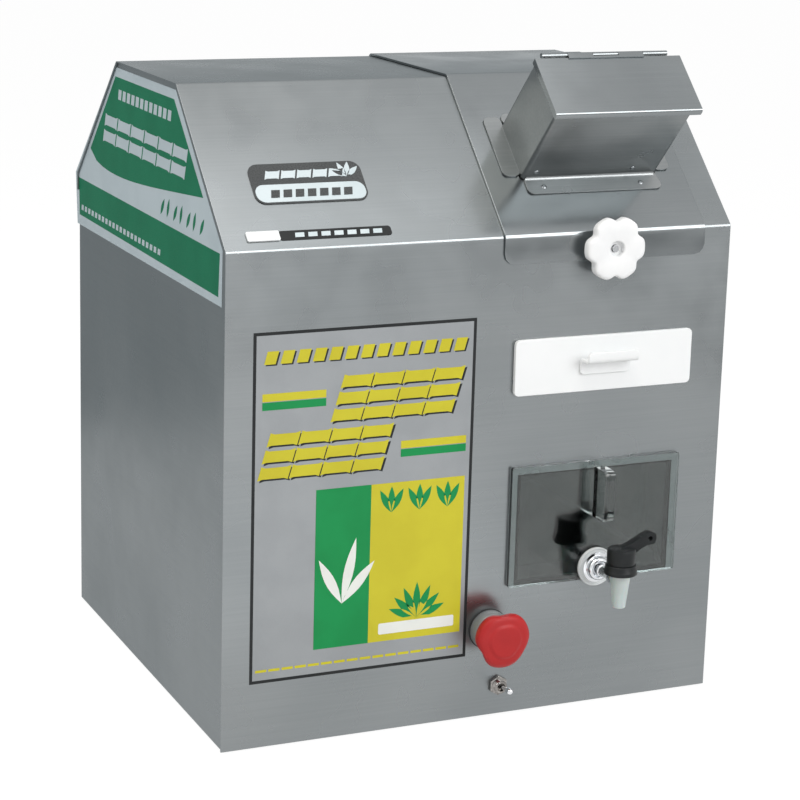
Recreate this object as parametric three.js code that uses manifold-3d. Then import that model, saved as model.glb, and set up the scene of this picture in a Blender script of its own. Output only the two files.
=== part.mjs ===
// Electric countertop sugarcane mill: a bent stainless housing, a lift-off roller cover with a feed
// chute, three grooved rollers geared together, a strainer drawer and a clear juice tank with a tap.
// Millimetres, +Z up, the front faces -Y. The origin lies on the ground under the machine's middle.
import * as THREE from "three";
import { mergeVertices } from "three/addons/utils/BufferGeometryUtils.js";
import Module from "manifold-3d";

const wasm = await Module();
wasm.setup();

// Sheets and clearances
const seat = 0.3;
const sheet = 1.2;
const bendRadius = 4;
const runningGap = 0.4;
const openingMargin = 1;

// Housing
const housingWidth = 450;
const housingDepth = 402;
const housingHeight = 526;
const kneeHeight = 411;
const slopeRun = 120.6;
const skirtLift = 1;
const sideInset = 2;
const sideFlange = 12;
const sideFlangeStart = 36;
const rearLap = 16;

// Base and feet
const footHeight = 7.7;
const footRadius = 15;
const footTopRadius = 13.5;
const footInsetX = 40;
const footInsetY = 42;
const footStemRadius = 4.5;
const footHeadRadius = 7;
const footHeadHeight = 3;
const footRecess = 3;
const panSheet = 1.5;
const panFlange = 10;

// Roller cover
const doorFromRight = 119;
const coverWidth = 186;
const coverSheet = 2;
const coverDrop = 23;
const coverCornerRadius = 9;
const coverRearFlange = 18;
const coverLap = 12;
const coverEndLap = 8;

// Mill
const millFromDoor = 2;
const millInnerWidth = 170;
const cheekThickness = 8;
const nipDepth = 100;
const topRollerRadius = 37;
const lowRollerRadius = 31;
const rollerLength = 164;
const grooveDepth = 1.8;
const topGrooves = 24;
const lowGrooves = 20;
const topShaftRadius = 14;
const lowShaftRadius = 11;
const shaftOverhang = 3;
const shaftTail = 1;
const bushWall = 4;
const bushFlange = 4;
const bushFlangeThickness = 2.1;
const cheekFrontMargin = 33;
const cheekRearMargin = 74;
const cheekTopMargin = 33;
const cheekChamfer = 48;
const cheekCornerRadius = 10;
const cheekFootWidth = 17;
const tieRodRadius = 8;
const tieRodEndRadius = 5;
const tieRodAboveTray = 11;
const tieRodFrontInset = 10.3;
const tieRodRearInset = 18;
const tieNutAcrossFlats = 17;
const tieNutThickness = 8;

// Gears
const rollerModule = 4;
const topTeeth = 19;
const lowTeeth = 16;
const rollerGearWidth = 14;
const rollerGearOffset = 2;
const driveModule = 2.5;
const bullTeeth = 60;
const pinionTeeth = 15;
const bullGearWidth = 20;
const bullFromCheek = 25;
const bullHoles = 5;
const bullHoleRadius = 14;
const bullHoleCircle = 45;
const pinionWidth = 24;
const pinionShaftRadius = 10;
const pinionShaftDepth = 38;
const pinionDirection = THREE.MathUtils.degToRad(-60);
const pressureAngle = THREE.MathUtils.degToRad(20);
const backlash = 0.5;
const addendum = 0.85;
const dedendum = 1.2;
const flankSteps = 1;
const keyWidth = 5;
const keyRise = 2.5;

// Feed chute and lid
const chuteWidth = 126;
const chuteDepth = 56.5;
const chuteFrontOnSlope = 54.5;
const chuteHeight = 88;
const chuteThroat = 30;
const chuteSheet = 1.5;
const chuteCornerRadius = 3;
const chuteHoleMargin = 0.8;
const chuteBend = 4.5;
const frontFlangeDepth = 16;
const frontFlangeInset = 2;
const sideFlangeWidth = 15;
const sideFlangeLap = 3;
const sideFlangeRearLap = 8;
const rearFlangeDepth = 11;
const chuteFlangeRadius = 5;
const lidSheet = 1.2;
const lidLip = 5.5;
const lidLipGap = 0.8;
const lidFrontGap = 1.5;
const lidRightOverhang = 6;
const lidRearGap = 1;
const lidBend = 2.5;
const hingeLength = 116;
const hingeKnuckles = 5;
const hingeBarrelRadius = 2.2;
const hingePinRadius = 0.9;
const hingeLeafSheet = 1;
const hingeLeafHeight = 20;
const hingeRelief = 0.5;

// Star knob and stud
const studRadius = 3;
const studBelowKnee = 11.3;
const studReach = 17.5;
const studHeadRadius = 7;
const studHeadThickness = 2.5;
const knobRadius = 26.8;
const knobLobes = 6;
const knobNotch = 3.4;
const knobSharpness = 5;
const knobSteps = 48;
const knobThickness = 10;
const knobReach = 20.5;
const knobHubRadius = 11;
const knobRecessRadius = 6.5;
const knobRecessDepth = 5;
const knobEdge = 2;

// Strainer drawer
const drawerFrontWidth = 165.5;
const drawerFrontHeight = 47;
const drawerBelowRollers = 95.65;
const frontPlateThickness = 4;
const drawerCornerRadius = 4;
const trayWidth = 146;
const trayLength = 250;
const trayRise = 4;
const trayHeight = 38;
const trayWall = 3;
const trayLedge = 7;
const trayFrontFloor = 30;
const strainerSheet = 1;
const strainerSlot = 2.4;
const strainerPitch = 16;
const strainerBar = 8;
const pullWidth = 47;
const pullSheet = 2.5;
const pullBaseRise = 15;
const pullShelfRise = 26.5;
const pullTopRise = 36;
const pullReach = 20.5;
const pullBend = 3.6;
const pullCornerRadius = 3;

// Juice tank
const tankWidth = 144;
const tankBottom = 115;
const tankTopBelowRollers = 164.65;
const tankLength = 260;
const tankWall = 3;
const tankFrontWidth = 158.5;
const tankFrontLapBelow = 2;
const tankFrontLapAbove = 8;
const tankCornerRadius = 2;
const ribWidth = 10;
const ribReach = 20;
const ribShare = 0.42;
const ribTopMargin = 5;
const ribCornerRadius = 4;
const shelfSheet = 1.5;
const shelfFlange = 20;
const shelfFromFront = 41;
const shelfLength = 235;

// Tap
const tapAboveTank = 9;
const tapReach = 48;
const tapShankRadius = 4.5;
const tapShankInside = 10;
const tapShankBore = 2.6;
const tapWasherRadius = 17;
const tapWasherThickness = 2.6;
const tapNutRadius = 12.5;
const tapNutFaceRadius = 9.5;
const tapNutThickness = 7;
const tapSpoutDrop = 22;
const tapSpoutRise = 7;
const tapSpoutTopRadius = 8.8;
const tapSpoutBottomRadius = 5.4;
const tapSpoutBore = 3.9;
const tapNeckRise = 16;
const tapSkirtRadius = 14;
const tapSkirtTopRadius = 12.6;
const tapSkirtHeight = 8.4;
const tapHubRadius = 11.3;
const tapHubHeight = 12;
const tapArmThickness = 7;
const tapArmTip = 25;
const tapArmTipRise = 19.5;
const tapArmTipRadius = 6.2;
const tapArmRootRise = 13.5;
const tapArmRootDrop = 8;
const tapArmHoleRadius = 2;
const tapArmArcStart = THREE.MathUtils.degToRad(-60);
const tapArmArcSweep = THREE.MathUtils.degToRad(160);
const tapArmArcSteps = 8;

// Emergency stop
const stopFromDoor = 94.9;
const stopHeight = 78.1;
const stopCollarRadius = 20;
const stopCollarFaceRadius = 18.5;
const stopCollarThickness = 12;
const stopCollarEdge = 3;
const stopShankRadius = 10.8;
const stopShankLength = 15;
const stopHeadRadius = 24.8;
const stopHeadNotch = 3;
const stopLobes = 3;
const stopHeadSharpness = 1;
const stopHeadSteps = 30;
const stopHeadBack = 16.5;
const stopHeadThickness = 16;
const stopHeadEdge = 4;
const stopDiscRadius = 14.5;
const stopDiscRise = 2.5;
const stopDiscTopRadius = 12.5;
const stopPlungerRadius = 7;
const stopPlungerDepth = 10;
const stopSocketDepth = 5;
const stopBlockWidth = 30;
const stopBlockHeight = 38;
const stopBlockDepth = 34;
const stopBlockSocket = 17;

// Toggle switch
const toggleFromDoor = 84;
const toggleHeight = 27;
const toggleBushRadius = 5.6;
const toggleBushReach = 8;
const toggleBoreRadius = 3.6;
const toggleBoreDepth = 8.6;
const toggleNutAcrossFlats = 15;
const toggleNutThickness = 2.6;
const toggleCaseWidth = 13;
const toggleCaseDepth = 20;
const togglePivotReach = 3;
const toggleLeverLength = 19.5;
const toggleStemRadius = 1.7;
const toggleBallRadius = 2.6;
const toggleTipRadius = 2.7;
const toggleTipLength = 8;
const toggleTilt = THREE.MathUtils.degToRad(7);

// Juice funnel
const funnelSheet = 1.2;
const funnelDepth = 50;
const funnelRim = 17;
const funnelFromFront = 11;
const funnelLength = 258;
const funnelOutletFromFront = 161;
const funnelTroughHalf = 16;
const funnelOutletRadius = 12;
const funnelOutletLength = 12;

// Bagasse path
const outletFloorGap = 2.4;
const outletBelowLap = 5;
const outletMargin = 1.5;
const floorStart = THREE.MathUtils.degToRad(20);
const floorFall = THREE.MathUtils.degToRad(20);
const floorGap = 2.4;
const floorSheet = 1.5;
const floorLip = 12;
const floorInset = 3;
const hoodReach = 34;
const hoodTopFall = 22;
const hoodFlange = 10;
const hoodFlangeRadius = 3;
const trashGap = 6;
const trashClearance = 1.5;
const trashFootShare = 0.6;
const trashDepth = 17;
const trashSteps = 6;

// Drive
const gearboxFarReach = 131;
const gearboxNearReach = 47;
const gearboxFront = 46;
const gearboxRear = 80;
const gearboxBelow = 52;
const gearboxAbove = 48;
const gearboxCornerRadius = 14;
const gearboxNeckRadius = 34;
const gearboxNeckLength = 8;
const gearboxCapRadius = 38;
const gearboxCapThickness = 6;
const gearboxPillarRadius = 8;
const gearboxPillars = [
  [-36.3, -40.8],
  [67.7, -40.8],
  [67.7, 35.2],
];
const wormOffset = 50;
const motorFromCheek = 89;
const motorRadius = 56;
const motorLength = 160;
const motorFlange = 8;
const motorFlangeRadius = 58;
const motorFins = 24;
const motorFinDepth = 5;
const terminalWidth = 44;
const terminalHeight = 50;
const terminalDepth = 26;
const cowlLength = 46;
const cowlSheet = 1.5;
const cowlRadius = 57;
const cowlSlots = 8;
const cowlSlotInner = 14;
const cowlSlotOuter = 44;
const cowlSlotWidth = 7;

// Rear panel
const ventSlots = 9;
const ventWidth = 90;
const ventHeight = 6;
const ventPitch = 15;
const ventBottom = 130;
const ventFromLeft = 115;
const rearPanelLip = 10;
const rearPanelBend = 2.5;
const rearPanelTopDrop = 8;
const glandFromLeft = 75;
const glandHeight = 62;
const glandRadius = 11;
const glandNeckRadius = 9;
const glandReach = 20;
const glandBase = 7;
const glandBevel = 1;
const glandShankRadius = 7.6;
const glandNutThickness = 5;
const glandBoreRadius = 4.2;

// A point at an angle on a circle
const polar = (radius, angle) =>
  new THREE.Vector2(radius * Math.cos(angle), radius * Math.sin(angle));

// Places worked out from the sizes above
const frontY = -housingDepth / 2;
const rearY = housingDepth / 2;
const halfWidth = housingWidth / 2;
const shellInnerY = frontY + sheet + seat;
const slopeAngle = Math.atan2(housingHeight - kneeHeight, slopeRun);
const slopeUp = new THREE.Vector2(Math.cos(slopeAngle), Math.sin(slopeAngle));
const slopeOut = new THREE.Vector2(-Math.sin(slopeAngle), Math.cos(slopeAngle));
const rearPanelOuterY = rearY - sheet - seat;
const rearPanelInnerY = rearPanelOuterY - sheet;
const doorCentreX = halfWidth - doorFromRight;
const millCentreX = doorCentreX + millFromDoor;
const sidePlateOuterX = halfWidth - sideInset;
const sidePlateInnerX = sidePlateOuterX - sheet;
const panBottom = footHeight + seat;
const panTop = panBottom + panSheet;
const cheekInnerLeft = millCentreX - millInnerWidth / 2;
const cheekInnerRight = millCentreX + millInnerWidth / 2;
const cheekOuterLeft = cheekInnerLeft - cheekThickness;
const cheekOuterRight = cheekInnerRight + cheekThickness;
const rollerGearLeft = cheekOuterRight + rollerGearOffset;
const rollerGearRight = rollerGearLeft + rollerGearWidth;
const bullGearX = cheekOuterLeft - bullFromCheek;
const bullLeft = bullGearX - bullGearWidth / 2;
const bullRight = bullGearX + bullGearWidth / 2;
const coverLeft = doorCentreX - coverWidth / 2;
const coverRight = doorCentreX + coverWidth / 2;
const gearCentres = (rollerModule * (topTeeth + lowTeeth)) / 2;
const driveCentres = (driveModule * (bullTeeth + pinionTeeth)) / 2;
const nipGap = gearCentres - topRollerRadius - lowRollerRadius;
const chuteRearOnSlope = chuteFrontOnSlope + chuteDepth;
const chuteLeft = millCentreX - chuteWidth / 2;
const chuteRight = millCentreX + chuteWidth / 2;
const nip = new THREE.Vector2(frontY, kneeHeight)
  .addScaledVector(slopeUp, (chuteFrontOnSlope + chuteRearOnSlope) / 2)
  .addScaledVector(slopeOut, -nipDepth);
const topAxis = nip.clone().addScaledVector(slopeUp, topRollerRadius + nipGap / 2);
const frontAxis = topAxis.clone().addScaledVector(slopeUp, -gearCentres);
const rearAxis = new THREE.Vector2(2 * topAxis.x - frontAxis.x, frontAxis.y);
const pinionAxis = topAxis
  .clone()
  .add(new THREE.Vector2(driveCentres, 0).rotateAround(new THREE.Vector2(), pinionDirection));
const cheekFront = frontAxis.x - cheekFrontMargin;
const cheekRear = rearAxis.x + cheekRearMargin;
const gearboxLeft = cheekOuterLeft - gearboxFarReach;
const gearboxRight = cheekOuterLeft - gearboxNearReach;
const motorX = cheekOuterLeft - motorFromCheek;
const drawerFrontBottom = frontAxis.y - drawerBelowRollers;
const trayBottom = drawerFrontBottom + trayRise;
const trayTop = trayBottom + trayHeight;
const trayLeft = millCentreX - trayWidth / 2;
const trayRight = millCentreX + trayWidth / 2;
const trayRearY = frontY + trayLength;
const tankLeft = doorCentreX - tankWidth / 2;
const tankRight = doorCentreX + tankWidth / 2;
const tankTop = frontAxis.y - tankTopBelowRollers;
const tankFrontBottom = tankBottom - tankFrontLapBelow;
const tankFrontTop = tankTop + tankFrontLapAbove;
const tapHeight = tankBottom + tapAboveTank;
const tapSpoutBottom = tapHeight - tapSpoutDrop;
const tapSpoutTop = tapHeight + tapSpoutRise;
const tapNeckTop = tapHeight + tapNeckRise;
const stopX = doorCentreX - stopFromDoor;
const toggleX = doorCentreX - toggleFromDoor;
const studHeight = kneeHeight - studBelowKnee;
const floorTop = polar(lowRollerRadius + floorGap, floorStart).add(rearAxis);
const floorAt = (y) => floorTop.y - (y - floorTop.x) * Math.tan(floorFall);
const outletBottom =
  floorAt(rearPanelOuterY) - floorSheet / Math.cos(floorFall) - outletFloorGap;
const outletTop = kneeHeight - rearLap - hoodFlange - outletBelowLap;
const glandX = glandFromLeft - halfWidth;
const plateBackReach = seat;
const plateFrontReach = seat + frontPlateThickness;
const coverFaceReach = seat + coverSheet;

// Finishes
const finish = (color, roughness, metalness) =>
  new THREE.MeshStandardMaterial({ color, roughness, metalness });
const brushedSteel = finish(0x8f9599, 0.36, 0.9);
const innerSteel = finish(0x9aa0a4, 0.45, 0.85);
const rollerSteel = finish(0xb4b8bb, 0.25, 0.95);
const castIron = finish(0x4a5358, 0.6, 0.4);
const motorPaint = finish(0x56636b, 0.5, 0.3);
const bronze = finish(0xa8834a, 0.4, 0.8);
const chrome = finish(0xc9cdd0, 0.12, 1);
const whitePlastic = finish(0xf2f3f4, 0.45, 0);
const blackPlastic = finish(0x1c1f21, 0.5, 0);
const redPlastic = finish(0xb43232, 0.4, 0);
const greyPlastic = finish(0x7d8285, 0.5, 0);
const paleSpout = finish(0xc3cdcc, 0.35, 0);
const rubber = finish(0x26282a, 0.85, 0);
const clearAcrylic = new THREE.MeshStandardMaterial({
  color: 0xdfe8e6,
  roughness: 0.08,
  metalness: 0,
  transparent: true,
  opacity: 0.35,
});

// Directions, facets, and how far a cut runs out of a piece or a joined form into it
const unitX = new THREE.Vector3(1, 0, 0);
const unitY = new THREE.Vector3(0, 1, 0);
const unitZ = new THREE.Vector3(0, 0, 1);
const acrossMachine = new THREE.Matrix4().makeBasis(unitY, unitZ, unitX);
const towardsFront = new THREE.Matrix4().makeBasis(unitX, unitZ, unitY.clone().negate());
const slopeFrame = new THREE.Matrix4()
  .makeBasis(
    unitX,
    new THREE.Vector3(0, slopeUp.x, slopeUp.y),
    new THREE.Vector3(0, slopeOut.x, slopeOut.y),
  )
  .setPosition(0, frontY, kneeHeight);
const coarse = 16;
const fine = 24;
const slight = 10;
const overcut = 1;
const sink = 1;

// Turning geometry into solids and back, and joining or cutting them
function toSolid(geometry) {
  const bare = geometry.clone();
  bare.deleteAttribute("normal");
  bare.deleteAttribute("uv");
  const merged = mergeVertices(bare, 1e-4);
  const corners = merged.index.array;
  const kept = [];
  for (let start = 0; start < corners.length; start += 3) {
    const [a, b, c] = corners.slice(start, start + 3);
    if (a !== b && b !== c && c !== a) kept.push(a, b, c);
  }
  return new wasm.Manifold(
    new wasm.Mesh({
      numProp: 3,
      vertProperties: merged.attributes.position.array,
      triVerts: new Uint32Array(kept),
    }),
  );
}

function toGeometry(solid) {
  const { vertProperties, triVerts } = solid.getMesh();
  const shared = new THREE.BufferGeometry();
  shared.setAttribute("position", new THREE.BufferAttribute(vertProperties, 3));
  shared.setIndex(new THREE.BufferAttribute(triVerts, 1));
  const flat = shared.toNonIndexed();
  flat.computeVertexNormals();
  return flat;
}

const join = (first, ...others) =>
  toGeometry(others.reduce((solid, other) => solid.add(toSolid(other)), toSolid(first)));
const cut = (first, ...others) =>
  toGeometry(others.reduce((solid, other) => solid.subtract(toSolid(other)), toSolid(first)));
const common = (first, other) => toGeometry(toSolid(first).intersect(toSolid(other)));

// A box between two corners
function block(x0, x1, y0, y1, z0, z1) {
  const box = new THREE.BoxGeometry(x1 - x0, y1 - y0, z1 - z0);
  return box.translate((x0 + x1) / 2, (y0 + y1) / 2, (z0 + z1) / 2);
}

// A closed outline extruded straight; holes are outlines too
function prism(outline, depth, holes = []) {
  const shape = new THREE.Shape(outline);
  holes.forEach((hole) => shape.holes.push(new THREE.Path(hole)));
  return new THREE.ExtrudeGeometry(shape, { depth, bevelEnabled: false });
}

// Outlines in (Y, Z) between two X planes, and outlines in (X, Z) between two Y planes
const across = (outline, x0, x1, holes) =>
  prism(outline, x1 - x0, holes).applyMatrix4(acrossMachine).translate(x0, 0, 0);
const facing = (outline, y0, y1, holes) =>
  prism(outline, y1 - y0, holes).applyMatrix4(towardsFront).translate(0, y1, 0);

// An outline extruded with both its edges rounded
function pillowed(outline, thickness, edge) {
  const geometry = new THREE.ExtrudeGeometry(new THREE.Shape(outline), {
    depth: thickness - 2 * edge,
    bevelEnabled: true,
    bevelThickness: edge,
    bevelSize: edge,
    bevelOffset: -edge,
    bevelSegments: 2,
  });
  return geometry.translate(0, 0, edge);
}

// A turned piece; the profile's points are (radius, height) along its axis
function turned(profile, segments = coarse) {
  const points = profile.map(([radius, height]) => new THREE.Vector2(radius, height));
  return new THREE.LatheGeometry(points, segments);
}
const turnedUp = (profile, segments) => turned(profile, segments).rotateX(Math.PI / 2);
const turnedRight = (profile, segments) => turned(profile, segments).rotateZ(-Math.PI / 2);
const turnedLeft = (profile, segments) => turned(profile, segments).rotateZ(Math.PI / 2);
const turnedForward = (profile, segments) => turned(profile, segments).rotateX(Math.PI);

const rod = (radius, from, to) => [
  [0, from],
  [radius, from],
  [radius, to],
  [0, to],
];
const ring = (inner, outer, from, to) => [
  [inner, from],
  [outer, from],
  [outer, to],
  [inner, to],
  [inner, from],
];

// A rod across the machine at a place in (Y, Z)
const crossRod = (radius, x0, x1, place, segments) =>
  turnedRight(rod(radius, x0, x1), segments).translate(0, place.x, place.y);

const vectors = (pairs) => pairs.map(([x, y]) => new THREE.Vector2(x, y));

// Corners of a path rounded with arcs; an open path keeps its ends
function roundCorners(points, radiusOf, closed, arcSteps = 3) {
  const rounded = [];
  const count = points.length;
  points.forEach((corner, index) => {
    const isEnd = !closed && (index === 0 || index === count - 1);
    const radius = isEnd ? 0 : radiusOf(index);
    if (radius <= 0) {
      rounded.push(corner.clone());
      return;
    }
    const before = points[(index + count - 1) % count].clone().sub(corner).normalize();
    const after = points[(index + 1) % count].clone().sub(corner).normalize();
    const halfAngle = Math.acos(THREE.MathUtils.clamp(before.dot(after), -1, 1)) / 2;
    const centre = before.clone().add(after).normalize();
    centre.multiplyScalar(radius / Math.sin(halfAngle)).add(corner);
    const reach = radius / Math.tan(halfAngle);
    const start = corner.clone().addScaledVector(before, reach).sub(centre);
    const end = corner.clone().addScaledVector(after, reach).sub(centre);
    let sweep = end.angle() - start.angle();
    if (sweep > Math.PI) sweep -= 2 * Math.PI;
    if (sweep < -Math.PI) sweep += 2 * Math.PI;
    for (let step = 0; step <= arcSteps; step += 1) {
      const turn = (sweep * step) / arcSteps;
      rounded.push(start.clone().rotateAround(new THREE.Vector2(), turn).add(centre));
    }
  });
  return rounded;
}

const rounded = (outline, radius, arcSteps) =>
  roundCorners(outline, () => radius, true, arcSteps);

function rectangle(x0, x1, y0, y1, radius = 0, arcSteps = 3) {
  const corners = vectors([
    [x0, y0],
    [x1, y0],
    [x1, y1],
    [x0, y1],
  ]);
  return rounded(corners, radius, arcSteps);
}

// A path moved sideways, to its right when the distance is positive
function offsetPath(points, distance) {
  const rightOf = (from, to) => {
    const along = to.clone().sub(from).normalize();
    return new THREE.Vector2(along.y, -along.x);
  };
  return points.map((point, index) => {
    const next = points[Math.min(index + 1, points.length - 1)];
    const side = index > 0 ? rightOf(points[index - 1], point) : rightOf(point, next);
    const otherSide = index < points.length - 1 ? rightOf(point, next) : side;
    const mitre = side.clone().add(otherSide).normalize();
    return point.clone().addScaledVector(mitre, distance / mitre.dot(side));
  });
}

// The section of a sheet bent along a path; its metal lies to the right of the path
function bentSheet(path, thickness, radius) {
  const turnsRight = (index) => {
    const before = path[index].clone().sub(path[index - 1]);
    const after = path[index + 1].clone().sub(path[index]);
    return before.cross(after) < 0;
  };
  const pathArc = (index) => (turnsRight(index) ? radius : radius - thickness);
  const metalArc = (index) => (turnsRight(index) ? radius - thickness : radius);
  const pathSide = roundCorners(path, pathArc, false);
  const metalSide = roundCorners(offsetPath(path, thickness), metalArc, false);
  return [...pathSide, ...metalSide.reverse()];
}

// A round outline whose edge dips in several notches
function lobed(radius, depth, count, firstNotch, sharpness, steps) {
  return Array.from({ length: steps }, (_, step) => {
    const angle = (2 * Math.PI * step) / steps;
    const dip = ((1 + Math.cos(count * (angle - firstNotch))) / 2) ** sharpness;
    return polar(radius - depth * dip, angle);
  });
}

// A regular hexagon given across its flats
const hexagon = (acrossFlats) =>
  Array.from({ length: 6 }, (_, side) =>
    polar(acrossFlats / Math.sqrt(3), (side * Math.PI) / 3),
  );

const machine = new THREE.Group();
function addPiece(name, geometry, material) {
  const mesh = new THREE.Mesh(geometry, material);
  mesh.name = name;
  machine.add(mesh);
}

// Housing shell: front, slopes and top are one bent sheet that laps the rear panel
const housePath = vectors([
  [frontY, skirtLift],
  [frontY, kneeHeight],
  [frontY + slopeRun, housingHeight],
  [rearY - slopeRun, housingHeight],
  [rearY, kneeHeight],
  [rearY, kneeHeight - rearLap],
]);
const panelHole = (radius, x, height) =>
  turnedForward(rod(radius, -sheet - overcut, overcut)).translate(x, frontY, height);
const frontOpening = (x0, x1, z0, z1) =>
  block(
    x0 - openingMargin,
    x1 + openingMargin,
    frontY - overcut,
    frontY + sheet + overcut,
    z0 - openingMargin,
    z1 + openingMargin,
  );
const coverOpening = block(
  coverLeft + coverLap,
  coverRight - coverLap,
  frontY + coverEndLap,
  rearY - slopeRun - coverEndLap,
  kneeHeight,
  housingHeight + overcut,
);
const bodyShell = cut(
  across(bentSheet(housePath, sheet, bendRadius), -halfWidth, halfWidth),
  coverOpening,
  frontOpening(trayLeft, trayRight, trayBottom, trayTop),
  frontOpening(tankLeft, tankRight, tankBottom, tankTop),
  panelHole(studRadius + seat, doorCentreX, studHeight),
  panelHole(stopShankRadius + seat, stopX, stopHeight),
  panelHole(toggleBushRadius + seat, toggleX, toggleHeight),
);
addPiece("body_shell", bodyShell, brushedSteel);

// Side panels: shallow trays just inside the shell's edges
function sidePanel(side) {
  const lining = offsetPath(housePath, sheet + seat).slice(0, -1);
  const liningEnd = new THREE.Vector2(rearPanelOuterY, skirtLift);
  const outline = roundCorners([...lining, liningEnd], () => bendRadius - sheet, false);
  const inside = offsetPath(housePath, sheet + seat + sheet).slice(0, -1);
  inside[0].y -= overcut;
  const insideEnd = new THREE.Vector2(rearY, skirtLift - overcut);
  const insideKnee = new THREE.Vector2(rearY, inside.at(-1).y);
  const hollowOutline = [...inside, insideKnee, insideEnd];
  const plate = [sidePlateInnerX, sidePlateOuterX].map((x) => side * x).sort((a, b) => a - b);
  const flanges = [sidePlateOuterX - sideFlange, sidePlateInnerX].map((x) => side * x);
  flanges.sort((a, b) => a - b);
  const hollow = [flanges[0] - overcut, flanges[1] + overcut];
  if (side > 0) hollow[1] = flanges[1];
  if (side < 0) hollow[0] = flanges[0];
  const rim = cut(
    across(outline, ...flanges),
    across(hollowOutline, ...hollow),
    block(...hollow, frontY, rearY, 0, sideFlangeStart),
  );
  return join(across(outline, ...plate), rim);
}
addPiece("left_side_panel", sidePanel(-1), brushedSteel);
addPiece("right_side_panel", sidePanel(1), brushedSteel);

// Rear panel with vent slots, the bagasse outlet and the cable entry
const duct = {
  left: cheekInnerLeft + floorInset,
  right: cheekInnerRight - floorInset,
};
function rearPanel() {
  const inset = sidePlateInnerX - seat;
  const top = kneeHeight - rearPanelTopDrop;
  const path = vectors([
    [rearPanelOuterY - rearPanelLip, top],
    [rearPanelOuterY, top],
    [rearPanelOuterY, skirtLift],
    [rearPanelOuterY - rearPanelLip, skirtLift],
  ]);
  const through = [rearPanelInnerY - overcut, rearPanelOuterY + overcut];
  const vents = Array.from({ length: ventSlots }, (_, row) => {
    const bottom = ventBottom + row * ventPitch;
    const left = ventFromLeft - halfWidth - ventWidth / 2;
    const edges = [left, left + ventWidth];
    const slot = rectangle(...edges, bottom, bottom + ventHeight, ventHeight / 2, 2);
    return facing(slot, ...through);
  });
  const glandHole = turned(rod(glandShankRadius + seat, ...through)).translate(
    glandX,
    0,
    glandHeight,
  );
  const outlet = block(
    duct.left - outletMargin,
    duct.right + outletMargin,
    ...through,
    outletBottom,
    outletTop,
  );
  const sheetMetal = across(bentSheet(path, sheet, rearPanelBend), -inset, inset);
  return cut(sheetMetal, outlet, glandHole, ...vents);
}
addPiece("rear_panel", rearPanel(), brushedSteel);

const glandProfile = [
  [glandBoreRadius, -sheet - seat - glandNutThickness],
  [glandRadius, -sheet - seat - glandNutThickness],
  [glandRadius, -sheet - seat],
  [glandShankRadius, -sheet - seat],
  [glandShankRadius, seat],
  [glandRadius, seat],
  [glandRadius, glandBase],
  [glandNeckRadius, glandBase + glandBevel],
  [glandNeckRadius, glandReach - glandBase],
  [glandBoreRadius + glandBevel, glandReach],
  [glandBoreRadius, glandReach],
  [glandBoreRadius, -sheet - seat - glandNutThickness],
];
const gland = turned(glandProfile).translate(glandX, rearPanelOuterY, glandHeight);
addPiece("cable_gland", gland, blackPlastic);

// Base pan on four push-in rubber feet
const footPlaces = [-1, 1].flatMap((alongY) =>
  [-1, 1].map((alongX) => ({
    name: `foot_${alongY < 0 ? "front" : "rear"}_${alongX < 0 ? "left" : "right"}`,
    x: alongX * (halfWidth - footInsetX),
    y: alongY * (rearY - footInsetY),
  })),
);
function basePan() {
  const halfX = sidePlateInnerX - seat;
  const ends = [shellInnerY, rearPanelInnerY - seat];
  const inner = [ends[0] + panSheet, ends[1] - panSheet];
  const top = panBottom + panFlange;
  const tray = block(-halfX, halfX, ...ends, panBottom, top);
  const hollow = block(panSheet - halfX, halfX - panSheet, ...inner, panTop, top + overcut);
  const holes = footPlaces.map(({ x, y }) =>
    turnedUp(rod(footStemRadius + seat, panBottom - overcut, panTop + overcut)).translate(x, y, 0),
  );
  return cut(tray, hollow, ...holes);
}
addPiece("base_pan", basePan(), innerSteel);
const footProfile = [
  [0, footRecess],
  [footStemRadius, footRecess],
  [footStemRadius, 0],
  [footRadius, 0],
  [footTopRadius, footHeight],
  [footStemRadius, footHeight],
  [footStemRadius, panTop + seat],
  [footHeadRadius, panTop + seat],
  [footStemRadius, panTop + seat + footHeadHeight],
  [0, panTop + seat + footHeadHeight],
];
footPlaces.forEach(({ name, x, y }) => {
  addPiece(name, turnedUp(footProfile, slight).translate(x, y, 0), rubber);
});

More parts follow.
